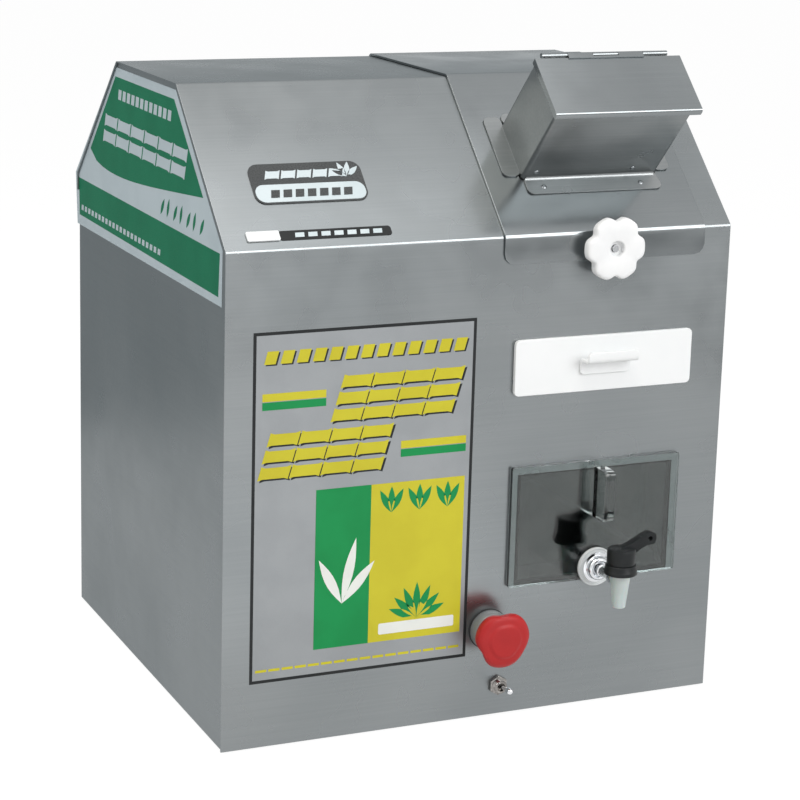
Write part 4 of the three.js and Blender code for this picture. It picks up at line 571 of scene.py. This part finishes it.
sticker_corners = [(292, 520), (126, 520), (12, 410), (13, 365), (407, 363), (412, 410)]
field = [(288.5, 512), (130, 512), *reversed(sag((364.5, 438.7), (57.7, 443.5), 14))]
band = [(401, 406.5), (18, 406.5), (21, 371.6), (400, 372.3)]
top_row = [bar(-281 + 12.2 * k, 493, 8.4, 8.8, 0.22) for k in range(12)]
cane_rows = ((465, -321), (450.5, -326))
cane_bars = [j for v, u in cane_rows for j in stalk(u, v, 222, 11.6, 6, 0.35, 2.6)]
band_row = [bar(-394 + 10.6 * k, 377.6, 6.6, 5.0, 0.2) for k in range(22)]
leaf_row = [leaf(-164 + 16.4 * k, 412.5, 18, 5.4, 54 + 14 * (k % 2)) for k in range(7)]
green_fields = [seen_from_side(field), seen_from_side(band)]
for name, outlines, thickness, lift, print_tone in (
    ("side_sticker", [seen_from_side(sticker_corners)], 0.1, 0, sticker_silver),
    ("side_sticker_green", green_fields, 0.05, 0.1, sticker_green),
    ("side_sticker_canes", top_row + cane_bars + band_row, 0.04, 0.15, sticker_silver),
    ("side_sticker_leaves", leaf_row, 0.04, 0.1, sticker_green),
):
    film(name, outlines, thickness=thickness, lift=lift, material=print_tone, **on_side)

# Badge and strip on the slope: a stamped plate with rounded corners, black over silver, and a
# narrow strip below it whose left end is a raised white block. Both are glued on.
slope_rise, slope_run = 115, 120.6
slope_turn = math.atan2(slope_rise, slope_run)
knee = Vector((0, front_y, 411 * mm))
up_slope = Vector((0, math.cos(slope_turn), math.sin(slope_turn)))
off_slope = Vector((0, -math.sin(slope_turn), math.cos(slope_turn)))
on_slope = dict(origin=knee, right=(1, 0, 0), up=up_slope, body="housing", slot="steel")
badge_black = varied("badge_black", (0.02, 0.024, 0.025), (0.03, 0.034, 0.035), 0.22, 0.34)
badge_silver = varied(
    "badge_silver", (0.52, 0.58, 0.6), (0.46, 0.53, 0.55), 0.3, 0.42, metallic=0.6
)
strip_white = varied("strip_white", (0.78, 0.8, 0.81), (0.72, 0.75, 0.76), 0.35, 0.5)
badge_leaves = [leaf(-106, 66.5, 15, 4.6, t) for t in (40, 75, 110, 145)]
badge_canes = stalk(-176, 66.5, 66, 8.6, 5, 0.35, 1.6)
badge_bars = [bar(-175 + 10.3 * k, 48.6, 7.2, 7.4, 0.25) for k in range(7)]
strip_bars = [bar(-165 + 11 * k, 10.4, 7.6, 4.2, 0.2) for k in range(7)]
for name, outlines, thickness, lift, print_tone in (
    ("badge_plate", [rounded_box(-188, 43, -92, 82, 9)], 0.9, 0, badge_black),
    ("badge_lower_half", [rounded_box(-186.6, 44.4, -93.4, 61.5, 7.6)], 0.12, 0.9, badge_silver),
    ("badge_relief", badge_canes + badge_leaves, 0.35, 0.9, badge_silver),
    ("badge_dark_relief", badge_bars, 0.25, 1.02, badge_black),
    ("strip_black", [rounded_box(-178, 8, -83, 17, 2.5)], 0.5, 0, print_black),
    ("strip_marks", strip_bars, 0.15, 0.5, badge_silver),
    ("strip_block", [rounded_box(-205, 8, -177.8, 17, 1.2)], 1.6, 0, strip_white),
):
    film(name, outlines, thickness=thickness, lift=lift, material=print_tone, **on_slope)

# Base pan, feet and gland: a shallow galvanised pan inside the foot of the housing, standing on
# four moulded rubber feet that push up through it. A black screwed gland sits low in the back.
# The inner sheet is toned darker than the housing steel as painted shade for the dim inside of the
# machine. The pan, tie rods, juice funnel and tank shelf all take it.
shaded_inner_steel = drawn_metal(
    "inner_sheet_painted_shade", (0.25, 0.265, 0.27), (0.20, 0.213, 0.218), (12, 500, 500), 0.36, 0.5, 8.0
)
foot_rubber = varied(
    "foot_rubber", (0.022, 0.023, 0.024), (0.034, 0.035, 0.036), 0.7, 0.85, 60, 1400
)
dress("base_pan", shaded_inner_steel)
for foot in ("front_left", "front_right", "rear_left", "rear_right"):
    dress(f"foot_{foot}", foot_rubber, 0.5)
gland_black = varied("gland_black", (0.018, 0.019, 0.02), (0.03, 0.031, 0.032), 0.42, 0.55)
dress("cable_gland", gland_black, 0.4)


# Screws in the back: cross-recessed pan heads that hold the rear panel to the side panels' flanges,
# and the outlet hood to the rear panel. Each is turned, then its recess is struck in.
def turned(name, foot, axis, profile, sides=64, closed=False):
    """A round piece drawn out ring by ring along its axis; the profile gives (height, radius).

    A closed profile runs round a wall and ends where it began, so the piece has a bore.
    """
    only(None)
    foot = Vector(foot)
    axis = Vector(axis).normalized()
    upright = axis.to_track_quat("Z", "Y").to_euler()
    height, radius = profile[0]
    bpy.ops.mesh.primitive_circle_add(
        vertices=sides,
        radius=radius * mm,
        fill_type="NOTHING" if closed else "NGON",
        location=foot + axis * height * mm,
        rotation=upright,
    )
    piece = bpy.context.object
    piece.name = name
    piece.data.name = name
    bpy.ops.object.transform_apply(location=True, rotation=True, scale=True)
    bpy.ops.object.mode_set(mode="EDIT")
    bpy.ops.mesh.select_all(action="SELECT")
    for next_height, next_radius in profile[1:] + (profile[:1] if closed else []):
        step = axis * (next_height - height) * mm
        if closed:
            bpy.ops.mesh.extrude_edges_move(TRANSFORM_OT_translate={"value": step})
        else:
            bpy.ops.mesh.extrude_region_move(TRANSFORM_OT_translate={"value": step})
        if next_radius != radius:
            share = next_radius / radius
            middle = foot + axis * next_height * mm
            bpy.ops.transform.resize(value=(share, share, share), center_override=middle)
        height, radius = next_height, next_radius
    close_seams(piece)
    return piece


def soften(piece, width, segments=3, angle=35):
    """Rounds the sharp edges and smooths the shading."""
    only(piece)
    if width:
        rounded = piece.modifiers.new("round", "BEVEL")
        rounded.width = width * mm
        rounded.segments = segments
        rounded.limit_method = "ANGLE"
        rounded.angle_limit = math.radians(angle)
        apply_modifiers(piece)
    bpy.ops.object.shade_smooth_by_angle(angle=math.radians(angle))
    return piece


def combine(piece, other, operation="UNION"):
    """Welds another piece on, or cuts it away."""
    joint = piece.modifiers.new("joint", "BOOLEAN")
    joint.operation = operation
    joint.solver = "EXACT"
    joint.object = other
    apply_modifiers(piece)
    bpy.data.objects.remove(other)
    return piece


def cross_screw():
    head = [(-0.2, 3.5), (0.5, 3.7), (1.3, 3.6), (2.0, 3.0), (2.4, 2.0), (2.5, 0.8)]
    screw = turned("cross_screw", (0, 0, 0), (0, 1, 0), head, 32)
    for width, height in ((0.8, 3.8), (3.8, 0.8)):
        bpy.ops.mesh.primitive_cube_add(size=1, location=(0, 2.3 * mm, 0))
        slot = bpy.context.object
        slot.scale = (width * mm, 2.2 * mm, height * mm)
        bpy.ops.object.transform_apply(location=False, rotation=False, scale=True)
        combine(screw, slot, "DIFFERENCE")
    return soften(screw, 0, angle=50)


def set_out(model, name, places, material, body, slot):
    """Copies of one piece, each with its own mesh, moved to their places."""
    for count, place in enumerate(places):
        piece = model.copy()
        piece.data = model.data.copy()
        piece.name = f"{name}_{count + 1}"
        bpy.context.scene.collection.objects.link(piece)
        piece.location = place
        only(piece)
        bpy.ops.object.transform_apply(location=True, rotation=True, scale=True)
        finish_piece(piece, material, body, slot)
    bpy.data.objects.remove(model)


plated_screw = varied(
    "plated_screw", (0.50, 0.51, 0.52), (0.42, 0.43, 0.44), 0.24, 0.36, 80, 700, metallic=1.0
)
panel_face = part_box("rear_panel")[1].y
hood_face = 215.9 * mm
panel_spots = [(x, z) for x in (-213.5, 213.5) for z in (40, 155, 270, 385)]
hood_spots = [(21, 385), (108, 385), (195, 385), (21, 317), (195, 317)]
for name, face, spots in (
    ("panel_screw", panel_face, panel_spots),
    ("hood_screw", hood_face, hood_spots),
):
    screw_places = [Vector((x * mm, face, z * mm)) for x, z in spots]
    set_out(cross_screw(), name, screw_places, plated_screw, "housing", "steel")


# Mill frame: two painted plate cheeks held apart by tie rods, with bronze bushes for the rollers.
# The paint is a hammered blue-grey, worn bright along its edges.
def edge_wear_group():
    """A mask along the worn edges of a piece, broken up by a fine noise."""
    tree, given = group("edge_wear", {"Place": "v", "Reach": "f"}, {"Mask": "f"})
    rounded = wire(tree, "ShaderNodeBevel", {"Radius": given["Reach"]}, samples=4)
    straight = wire(tree, "ShaderNodeNewGeometry")
    same = wire(
        tree,
        "ShaderNodeVectorMath",
        {0: rounded.outputs[0], 1: straight.outputs["Normal"]},
        operation="DOT_PRODUCT",
    )
    bends = spread(tree, same.outputs["Value"], 0.97, 0.8, 0.0, 1.0)
    breaks = noise(tree, given["Place"], 120.0, 4.0, 0.7)
    chips = spread(tree, breaks, 0.45, 0.6, 0.0, 1.0)
    mask = wire(tree, "ShaderNodeMath", {0: bends, 1: chips}, operation="MULTIPLY")
    wire(tree, "NodeGroupOutput", {"Mask": mask.outputs[0]})
    return tree


edge_wear = edge_wear_group()


def worn_paint(name, light, deep, bare, smooth, rough, patch=14.0):
    """Paint or oil over metal, worn through to the bare tone along the edges."""
    material, tree, shader, place = principled(name)
    effect = varied_surface(tree, place, light, deep, smooth, rough, patch, 220.0)
    join_surface(tree, shader, effect, 0.0002, 0.3)
    wear = wire(tree, "ShaderNodeGroup", {"Place": place, "Reach": 0.0012}, node_tree=edge_wear)
    worn = wear.outputs["Mask"]
    tones = {0: worn, 1: effect.outputs["Color"], 2: (*bare, 1)}
    tone = wire(tree, "ShaderNodeMixRGB", tones)
    tree.links.new(tone.outputs[0], shader.inputs["Base Color"])
    tree.links.new(worn, shader.inputs["Metallic"])
    return material


frame_paint = worn_paint(
    "frame_paint", (0.075, 0.098, 0.112), (0.055, 0.074, 0.086), (0.5, 0.5, 0.5), 0.4, 0.55
)
bush_bronze = drawn_metal(
    "bush_bronze", (0.48, 0.29, 0.11), (0.40, 0.23, 0.08), (600, 20, 20), 0.3, 0.42, 12.0
)
for side in ("left", "right"):
    dress(f"{side}_cheek", frame_paint, 0.5)
    for seat in ("top", "front", "rear"):
        dress(f"bush_{seat}_{side}", bush_bronze, 0.3)
# The tie rods take the darker inner sheet, whose tone is painted shade.
dress("tie_rod_front", shaded_inner_steel, 0.3)
dress("tie_rod_rear", shaded_inner_steel, 0.3)

# Rollers: solid stainless bars turned and milled with grooves that grip the cane, each on its
# own shaft in the bushes.
turned_steel = drawn_metal(
    "turned_steel", (0.52, 0.53, 0.54), (0.44, 0.455, 0.465), (900, 14, 14), 0.2, 0.34, 9.0
)
for roller in ("top", "front", "rear"):
    dress(f"{roller}_roller", turned_steel, 0.25)

# Gears: the rollers are geared together at the right, and the bull gear at the left is driven by
# the pinion on the gearbox. They are cut steel, oiled dark, and worn bright on their teeth.
gear_steel = worn_paint(
    "gear_steel", (0.10, 0.105, 0.105), (0.06, 0.062, 0.06), (0.55, 0.55, 0.54), 0.3, 0.45, 30
)
for gear in ("top_roller_gear", "front_roller_gear", "rear_roller_gear", "bull_gear"):
    dress(gear, gear_steel, 0.3)
dress("drive_pinion", turned_steel, 0.3)

# Drive: a cast worm gearbox on pillars against the left cheek, its cap held by a ring of six bolts,
# with the painted motor hanging under it. A bare plate is glued to the motor's side.
motor_paint = worn_paint(
    "motor_paint", (0.085, 0.13, 0.16), (0.068, 0.105, 0.132), (0.5, 0.5, 0.5), 0.35, 0.5, 20
)
dress("gearbox_case", frame_paint, 0.8)
dress("motor_body", motor_paint, 0.4)
dress("motor_fan_cowl", motor_paint, 0.6)
cap_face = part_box("gearbox_case")[0].x
cap_y, cap_z, bolt_ring = 16.9, 340.8, 31
bolt_places = []
for turn in range(6):
    angle = math.radians(30 + 60 * turn)
    y, z = cap_y + bolt_ring * math.cos(angle), cap_z + bolt_ring * math.sin(angle)
    bolt_places.append(Vector((cap_face, y * mm, z * mm)))
cap_bolt = soften(turned("cap_bolt", (0, 0, 0), (-1, 0, 0), [(-0.2, 5.2), (3.4, 5.2)], 6), 0.4, 2)
set_out(cap_bolt, "gearbox_bolt", bolt_places, plated_screw, "housing", "steel")
film(
    "motor_bare_plate",
    [rounded_box(-16, -11, 16, 11, 2)],
    origin=(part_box("motor_body")[0].x, 66.9 * mm, 204.5 * mm),
    right=(0, -1, 0),
    up=(0, 0, 1),
    thickness=0.5,
    material=turned_steel,
    body="housing",
    slot="steel",
)

# Trash plate, juice funnel, tank shelf and rear hood: bent and welded stainless sheet inside the
# mill, and the outlet at the back.
dress("trash_plate", turned_steel, 0.3)
# The funnel and the shelf take the darker inner sheet, whose tone is painted shade.
dress("juice_funnel", shaded_inner_steel)
dress("tank_shelf", shaded_inner_steel)
dress("rear_hood", shell_steel, 0.2, 2, False)

# Strainer drawer: a white moulded tray with a punched plate on its ledge, behind a thick white
# front plate with a bent pull.
drawer_white = varied("drawer_white", (0.88, 0.895, 0.9), (0.85, 0.868, 0.875), 0.32, 0.45, 18, 700)
dress("strainer_drawer", drawer_white, 0.4)
dress("drawer_front", drawer_white, 0.6, 3)
dress("drawer_pull", drawer_white, 0.5, 3)
dress("strainer_plate", turned_steel, 0.12, 2, False)


# Juice tank: glued clear acrylic sheet with polished edges; a glued rib on its front is the
# handle it is pulled out by.
def clear_acrylic():
    glass = {"Transmission Weight": 1.0, "IOR": 1.49, "Specular IOR Level": 0.25}
    material, tree, shader, place = principled("clear_acrylic", **glass)
    light, deep = (0.78, 0.83, 0.82), (0.70, 0.76, 0.75)
    effect = varied_surface(tree, place, light, deep, 0.01, 0.05, 22.0, 12.0)
    tree.links.new(effect.outputs["Color"], shader.inputs["Base Color"])
    tree.links.new(effect.outputs["Roughness"], shader.inputs["Roughness"])
    return material


tank_clear = clear_acrylic()
dress("juice_tank", tank_clear, 0.2)
dress("tank_front", tank_clear, 0.5, 3)

# Tap: a plated shank clamped to the tank front by a washer and a domed nut, a milky moulded
# spout, a black skirt round its neck and a black lever that turns on top.
chrome = varied(
    "plated_chrome", (0.74, 0.75, 0.77), (0.66, 0.68, 0.7), 0.07, 0.16, 40, 500, metallic=1.0
)
tap_black = varied(
    "tap_black", (0.010, 0.012, 0.013), (0.016, 0.018, 0.019), 0.36, 0.48, 60, 900, **matt
)
tap_white = varied("tap_white", (0.74, 0.77, 0.78), (0.68, 0.71, 0.72), 0.3, 0.42, 60, 900)
milk = {"Subsurface Weight": 0.25, "Subsurface Scale": 0.004}
milky_spout = varied(
    "milky_spout", (0.56, 0.64, 0.63), (0.51, 0.59, 0.58), 0.3, 0.42, 50, 800, **milk
)
tap_x, tap_z = 108.0, 124.0
on_shank = (tap_x * mm, front_y, tap_z * mm)
outward = (0, -1, 0)
washer_profile = [(4.6, 4.8), (4.6, 16.8), (6.6, 16.8), (7.2, 16.2), (7.2, 15.4)]
washer_profile += [(6.6, 15.0), (6.6, 14.2), (7.2, 13.8), (7.2, 4.8)]
washer = turned("tap_washer_ringed", on_shank, outward, washer_profile, 96, True)
finish_piece(soften(washer, 0.15, 2), tap_white, "tank", "white", "tap_washer")
nut_profile = [(7.5, 4.8), (7.5, 12.9), (8.3, 12.9), (8.5, 10.6), (9.2, 10.1), (12.2, 10.1)]
nut_profile += [(13.8, 9.3), (14.6, 8.2), (14.6, 7.2), (12.8, 6.6), (12.8, 4.8)]
nut = turned("tap_nut_domed", on_shank, outward, nut_profile, 96, True)
finish_piece(soften(nut, 0.25, 2), chrome, "tank", "chrome", "tap_nut")
shank_profile = [(-9.8, 2.6), (-9.8, 4.5), (15.8, 4.5), (16.4, 5.4), (18.4, 5.4)]
shank_profile += [(19.0, 4.5), (33.5, 4.5), (34.2, 5.6), (39.6, 5.6), (39.6, 2.6)]
shank = turned("tap_shank", on_shank, outward, shank_profile, 64, True)
finish_piece(soften(shank, 0.2, 2), chrome, "tank", "chrome")
tap_axis = (tap_x * mm, front_y - 48 * mm, 0)
upward = (0, 0, 1)
spout_profile = [(114, 3.9), (102, 3.9), (102, 5.1), (102.4, 5.5), (128.5, 8.5)]
spout_profile += [(130.2, 8.9), (131, 8.8), (140, 8.8)]
spout = turned("tap_spout", tap_axis, upward, spout_profile, 72)
finish_piece(soften(spout, 0.25, 2), milky_spout, "tank", "spout", "tap_body")
skirt_profile = [(131.3, 9.1), (131.3, 13.4), (131.9, 14), (134.4, 14), (135.0, 13.5)]
skirt_profile += [(139.1, 12.8), (139.7, 12.2), (139.7, 9.1)]
skirt = turned("tap_skirt", tap_axis, upward, skirt_profile, 96, True)
finish_piece(soften(skirt, 0.2, 2), tap_black, "tank", "black", "tap_collar")


def tap_lever_piece():
    """A round hub with a curved blade on it that rises to a pierced round tip."""
    hub_profile = [(140.3, 11.9), (151.4, 11.9), (152.8, 11.4), (153.6, 9.6)]
    hub = turned("tap_lever_arm", tap_axis, upward, hub_profile, 72)
    base = 140.3
    tip_u, tip_v, tip_radius = 25.2, base + 19.6, 5.8
    arc = []
    for step in range(21):
        angle = math.radians(-62 + 168 * step / 20)
        arc.append((tip_u + tip_radius * math.cos(angle), tip_v + tip_radius * math.sin(angle)))
    root = [(-6.5, 3), (8.2, 6), (11.5, 8.4), (16.0, 11.2), (21.5, 13.8)]
    back = [(17.0, 22.2), (8.0, 17.6), (0.5, 14.6), (-6.5, 12.6)]
    outline = shifted([root], 0, base)[0] + arc + shifted([back], 0, base)[0]
    hole = []
    for step in range(18):
        angle = math.radians(20 * step)
        hole.append((tip_u + 2.1 * math.cos(angle), tip_v + 2.1 * math.sin(angle)))
    blade_thick = 6.8
    blade_side = Vector(tap_axis) + Vector((0, blade_thick / 2 * mm, 0))
    blade = cut_flat("tap_lever_blade", [outline, hole], blade_side, (1, 0, 0), upward, blade_thick)
    return soften(combine(hub, blade), 0.7, 3, 40)


finish_piece(tap_lever_piece(), tap_black, "tap_lever", "black", "tap_lever")


# Emergency stop: a red three-lobed head on a plunger, in a grey screwed collar over a thin black
# gasket; the contact block is clipped on behind the panel.
def pick_points(piece, wanted):
    bpy.ops.object.mode_set(mode="EDIT")
    bpy.ops.mesh.select_mode(type="VERT")
    bpy.ops.mesh.select_all(action="DESELECT")
    bpy.ops.object.mode_set(mode="OBJECT")
    for point in piece.data.vertices:
        point.select = wanted(point.co)
    bpy.ops.object.mode_set(mode="EDIT")


def scallop(piece, centre, count, depth, sharpness, radius, sides, reach, crest=99.0):
    """Draws the rim of a round piece on the front in to leave lobes, with a notch at the top.

    Points nearer the axis than reach stay, and so do points farther out along it than crest.
    """
    only(piece)
    centre = Vector(centre)
    steps_per_lobe = sides // count
    least_move = 0.004
    for offset in range(steps_per_lobe // 2 + 1):
        dip = math.cos(math.pi * offset / steps_per_lobe) ** sharpness
        if dip * depth < least_move:
            continue

        def at_offset(place):
            arm = place - centre
            if math.hypot(arm.x, arm.z) < reach * mm or -arm.y > crest * mm:
                return False
            angle = math.degrees(math.atan2(arm.z, arm.x))
            turn = (angle - 90) % (360 / count)
            turn = min(turn, 360 / count - turn)
            return abs(turn - offset * 360 / sides) < 180 / sides

        pick_points(piece, at_offset)
        share = 1 - depth * dip / radius
        bpy.ops.transform.resize(value=(share, 1, share), center_override=centre)
    bpy.ops.object.mode_set(mode="OBJECT")


stop_grey = varied("stop_grey", (0.22, 0.23, 0.235), (0.19, 0.2, 0.205), 0.35, 0.48)
stop_black = varied("stop_black", (0.016, 0.017, 0.018), (0.025, 0.026, 0.027), 0.4, 0.55)
sheen = {"Specular IOR Level": 0.3}
stop_red = varied(
    "stop_red", (0.44, 0.015, 0.016), (0.39, 0.012, 0.013), 0.38, 0.5, 40, 600, **sheen
)
stop_axis = (11.1 * mm, front_y, 78.1 * mm)
gasket_profile = [(0, 11.2), (0, 17.6), (0.9, 17.6), (0.9, 11.2)]
gasket = turned("stop_gasket", stop_axis, outward, gasket_profile, 96, True)
finish_piece(soften(gasket, 0.2, 2), foot_rubber, "housing", "rubber")
collar_profile = [(-15, 7.4), (-15, 10.8), (0.9, 10.8), (0.9, 16.5), (1.5, 16.9)]
collar_profile += [(8.6, 16.9), (10.8, 16.4), (12, 15.2), (12, 7.4)]
collar = turned("stop_collar", stop_axis, outward, collar_profile, 96, True)
finish_piece(soften(collar, 0.3, 2), stop_grey, "housing", "grey", "estop_collar")
dress("estop_body", stop_black, 0.5)
dress("estop_plunger", stop_grey, 0.3)
head_profile = [(21.3, 7.4), (16.5, 7.4), (16.5, 17.2), (17.4, 18.8), (20.4, 21.5), (23.6, 23.3)]
head_profile += [(26.6, 24.2), (28.6, 24.3), (30.4, 23.7), (32, 22.3), (33, 20.2), (33.4, 18)]
head_profile += [(33.5, 16.4), (33.8, 15.2), (34.3, 14.3), (34.8, 13.2), (35, 12), (34.9, 8)]
head = turned("stop_head", stop_axis, outward, head_profile, 96)
for reach, crest in ((19.2, 29.5), (17.1, 31.0), (0, 99.0)):
    scallop(head, stop_axis, 3, 1.35, 6, 24.3, 96, reach, crest)
finish_piece(soften(head, 0, angle=50), stop_red, "stop_head", "red", "estop_head")

# Toggle switch: a plated bushing with its threads and hexagon nut, and a bat lever on a ball. Its
# moulded case, strapped in a steel frame, and its three bronze lugs are behind the front sheet.
nickel = varied(
    "switch_nickel", (0.36, 0.345, 0.33), (0.20, 0.19, 0.18), 0.12, 0.24, 260, 900, metallic=1.0
)
toggle_axis = (22 * mm, front_y, 27 * mm)
thread = [(2.9, 5.6)]
for turn in range(6):
    thread += [(3.4 + 0.75 * turn, 5.15), (3.75 + 0.75 * turn, 5.6)]
bushing_profile = [(-1.2, 3.6), (-1.2, 5.6), *thread, (8.0, 5.3), (8.0, 3.6)]
bushing = turned("toggle_bushing", toggle_axis, outward, bushing_profile, 48, True)
finish_piece(soften(bushing, 0), nickel, "housing", "chrome", "toggle_body")
toggle_nut = turned("toggle_nut", toggle_axis, outward, [(0.3, 8.66), (2.9, 8.66)], 6)
finish_piece(soften(toggle_nut, 0.35, 2), nickel, "housing", "chrome")
lever_turn = math.radians(7)
lever_axis = (0, -math.cos(lever_turn), math.sin(lever_turn))
lever_foot = (toggle_axis[0], front_y - 3 * mm, toggle_axis[2])
lever_profile = [(-2.5, 0.8), (-1.9, 1.8), (-1, 2.4), (0, 2.6), (1, 2.4), (2.2, 1.75), (4, 1.6)]
lever_profile += [(12, 1.75), (15.5, 2.2), (18.5, 2.6), (21, 2.7), (22.3, 2.35), (23.1, 1.6)]
lever_profile += [(23.5, 0.7)]
lever = turned("toggle_bat", lever_foot, lever_axis, lever_profile, 40)
finish_piece(soften(lever, 0, angle=50), chrome, "toggle_lever", "chrome", "toggle_lever")


def behind_wall(name, half_wide, low, high, corner, thickness, lift):
    """A flat block behind the front sheet, centred on the switch."""
    outline = rounded_box(-half_wide, low, half_wide, high, corner)
    return cut_flat(name, [outline], toggle_axis, (-1, 0, 0), (0, 0, 1), thickness, lift)


toggle_case = behind_wall("toggle_case", 6.5, -6.5, 6.5, 0.9, 18.8, 2.7)
for lift in (2.7, 19.3):
    combine(toggle_case, behind_wall("rim", 7.1, -7.1, 7.1, 1.2, 2.2, lift))
finish_piece(soften(toggle_case, 0.4, 2), stop_black, "housing", "black")
toggle_frame = behind_wall("toggle_frame", 6.8, -7.6, 7.6, 1, 1.2, 1.5)
for edge in (-7.6, 7.0):
    combine(toggle_frame, behind_wall("strap", 5.2, edge, edge + 0.6, 0, 15, 1.5))
finish_piece(soften(toggle_frame, 0.15, 1), plated_screw, "housing", "steel")
for count, drop in enumerate((-4.4, 0, 4.4)):
    lug = cut_flat(
        f"toggle_lug_{count + 1}",
        [rounded_box(-2.3, 0, 2.3, 6.5, 0.8), rounded_box(-0.8, 3, 0.8, 4.6, 0.78, 3)],
        (toggle_axis[0], front_y + 21.5 * mm, toggle_axis[2] + (drop - 0.4) * mm),
        (-1, 0, 0),
        (0, 1, 0),
        0.8,
    )
    finish_piece(lug, bush_bronze, "housing", "steel")

# Roller cover: a bent sheet over the mill that lifts off; the feed chute stands on it, held by
# rivets through its flanges, and its lid turns on a long hinge with a rolled leaf on each side.
chute_steel = drawn_metal(
    "chute_sheet", (0.30, 0.31, 0.312), (0.21, 0.225, 0.228), (9, 500, 500), 0.26, 0.38, 9.0
)
dress("roller_cover", cover_steel)
dress("feed_chute", chute_steel)
dress("chute_lid", cover_steel)
dress("hinge_fixed_leaf", cover_steel, 0.2)
hinge_axis = Vector((108 * mm, -165.4 * mm, 553.45 * mm))
leaf_outline = [(-34.7, -4.7), (34.7, -4.7), (34.7, -0.4), (11.7, -0.4)]
leaf_outline += [(11.7, -2.8), (-11.7, -2.8), (-11.7, -0.4), (-34.7, -0.4)]
lid_knuckles = cut_flat(
    "hinge_lid_knuckles", [leaf_outline], hinge_axis, (1, 0, 0), up_slope, 0.9, 1.2
)
barrel_profile = [(0, 1.2), (0, 2.15), (22.9, 2.15), (22.9, 1.2)]
for start in (-34.65, 11.75):
    barrel_foot = hinge_axis + Vector((start * mm, 0, 0))
    combine(lid_knuckles, turned("barrel", barrel_foot, (1, 0, 0), barrel_profile, 32, True))
finish_piece(soften(lid_knuckles, 0.1, 1), cover_steel, "chute_lid", "steel", "hinge_lid_leaf")
dress("hinge_pin", turned_steel, 0)
rivet_steel = drawn_metal(
    "rivet_steel", (0.33, 0.35, 0.36), (0.24, 0.26, 0.27), (60, 60, 60), 0.22, 0.34, 60.0
)


def rivet(name, foot, axis, body):
    dome = [(-0.3, 2.4), (0.15, 2.4), (0.55, 2.15), (0.9, 1.5), (1.08, 0.7)]
    piece = turned(name, foot, axis, dome, 24)
    return finish_piece(soften(piece, 0, angle=50), rivet_steel, body, "steel")


def slope_place(x, along, off):
    """A place so many millimetres along the slope from the knee and off its face."""
    return knee + Vector((x * mm, 0, 0)) + up_slope * along * mm + off_slope * off * mm


for count, x in enumerate((62.5, 153.0)):
    rivet(f"flange_rivet_{count + 1}", slope_place(x, 45, 3.9), off_slope, "roller_cover")
for count, x in enumerate((55.5, 145.5)):
    rivet(f"wall_rivet_{count + 1}", slope_place(x, 54.5, 11.7), -up_slope, "roller_cover")

# Star knob: white moulded, six lobes, turning on a threaded stud that shows in its recess.
knob_white = varied("knob_white", (0.87, 0.88, 0.885), (0.84, 0.85, 0.858), 0.36, 0.5, 60, 900)
knob_axis = (106 * mm, front_y, 399.7 * mm)
knob_profile = [(2.6, 3.3), (2.6, 11), (9.4, 11), (10.2, 12), (10.5, 13.5), (10.5, 23)]
knob_profile += [(10.8, 24.6), (11.6, 25.9), (12.8, 26.6), (14.2, 26.8), (16.8, 26.8)]
knob_profile += [(18.2, 26.6), (19.4, 25.9), (20.2, 24.6), (20.5, 23), (20.5, 8)]
knob_profile += [(20.2, 7.1), (19.4, 6.6), (18.4, 6.5), (15.5, 6.5), (15.5, 3.3)]
knob = turned("star_knob_moulded", knob_axis, outward, knob_profile, 144, True)
scallop(knob, knob_axis, 6, 4.0, 6, 26.8, 144, 19)
finish_piece(soften(knob, 0, angle=45), knob_white, "star_knob", "white", "star_knob")
dress("cover_stud", turned_steel, 0.3)
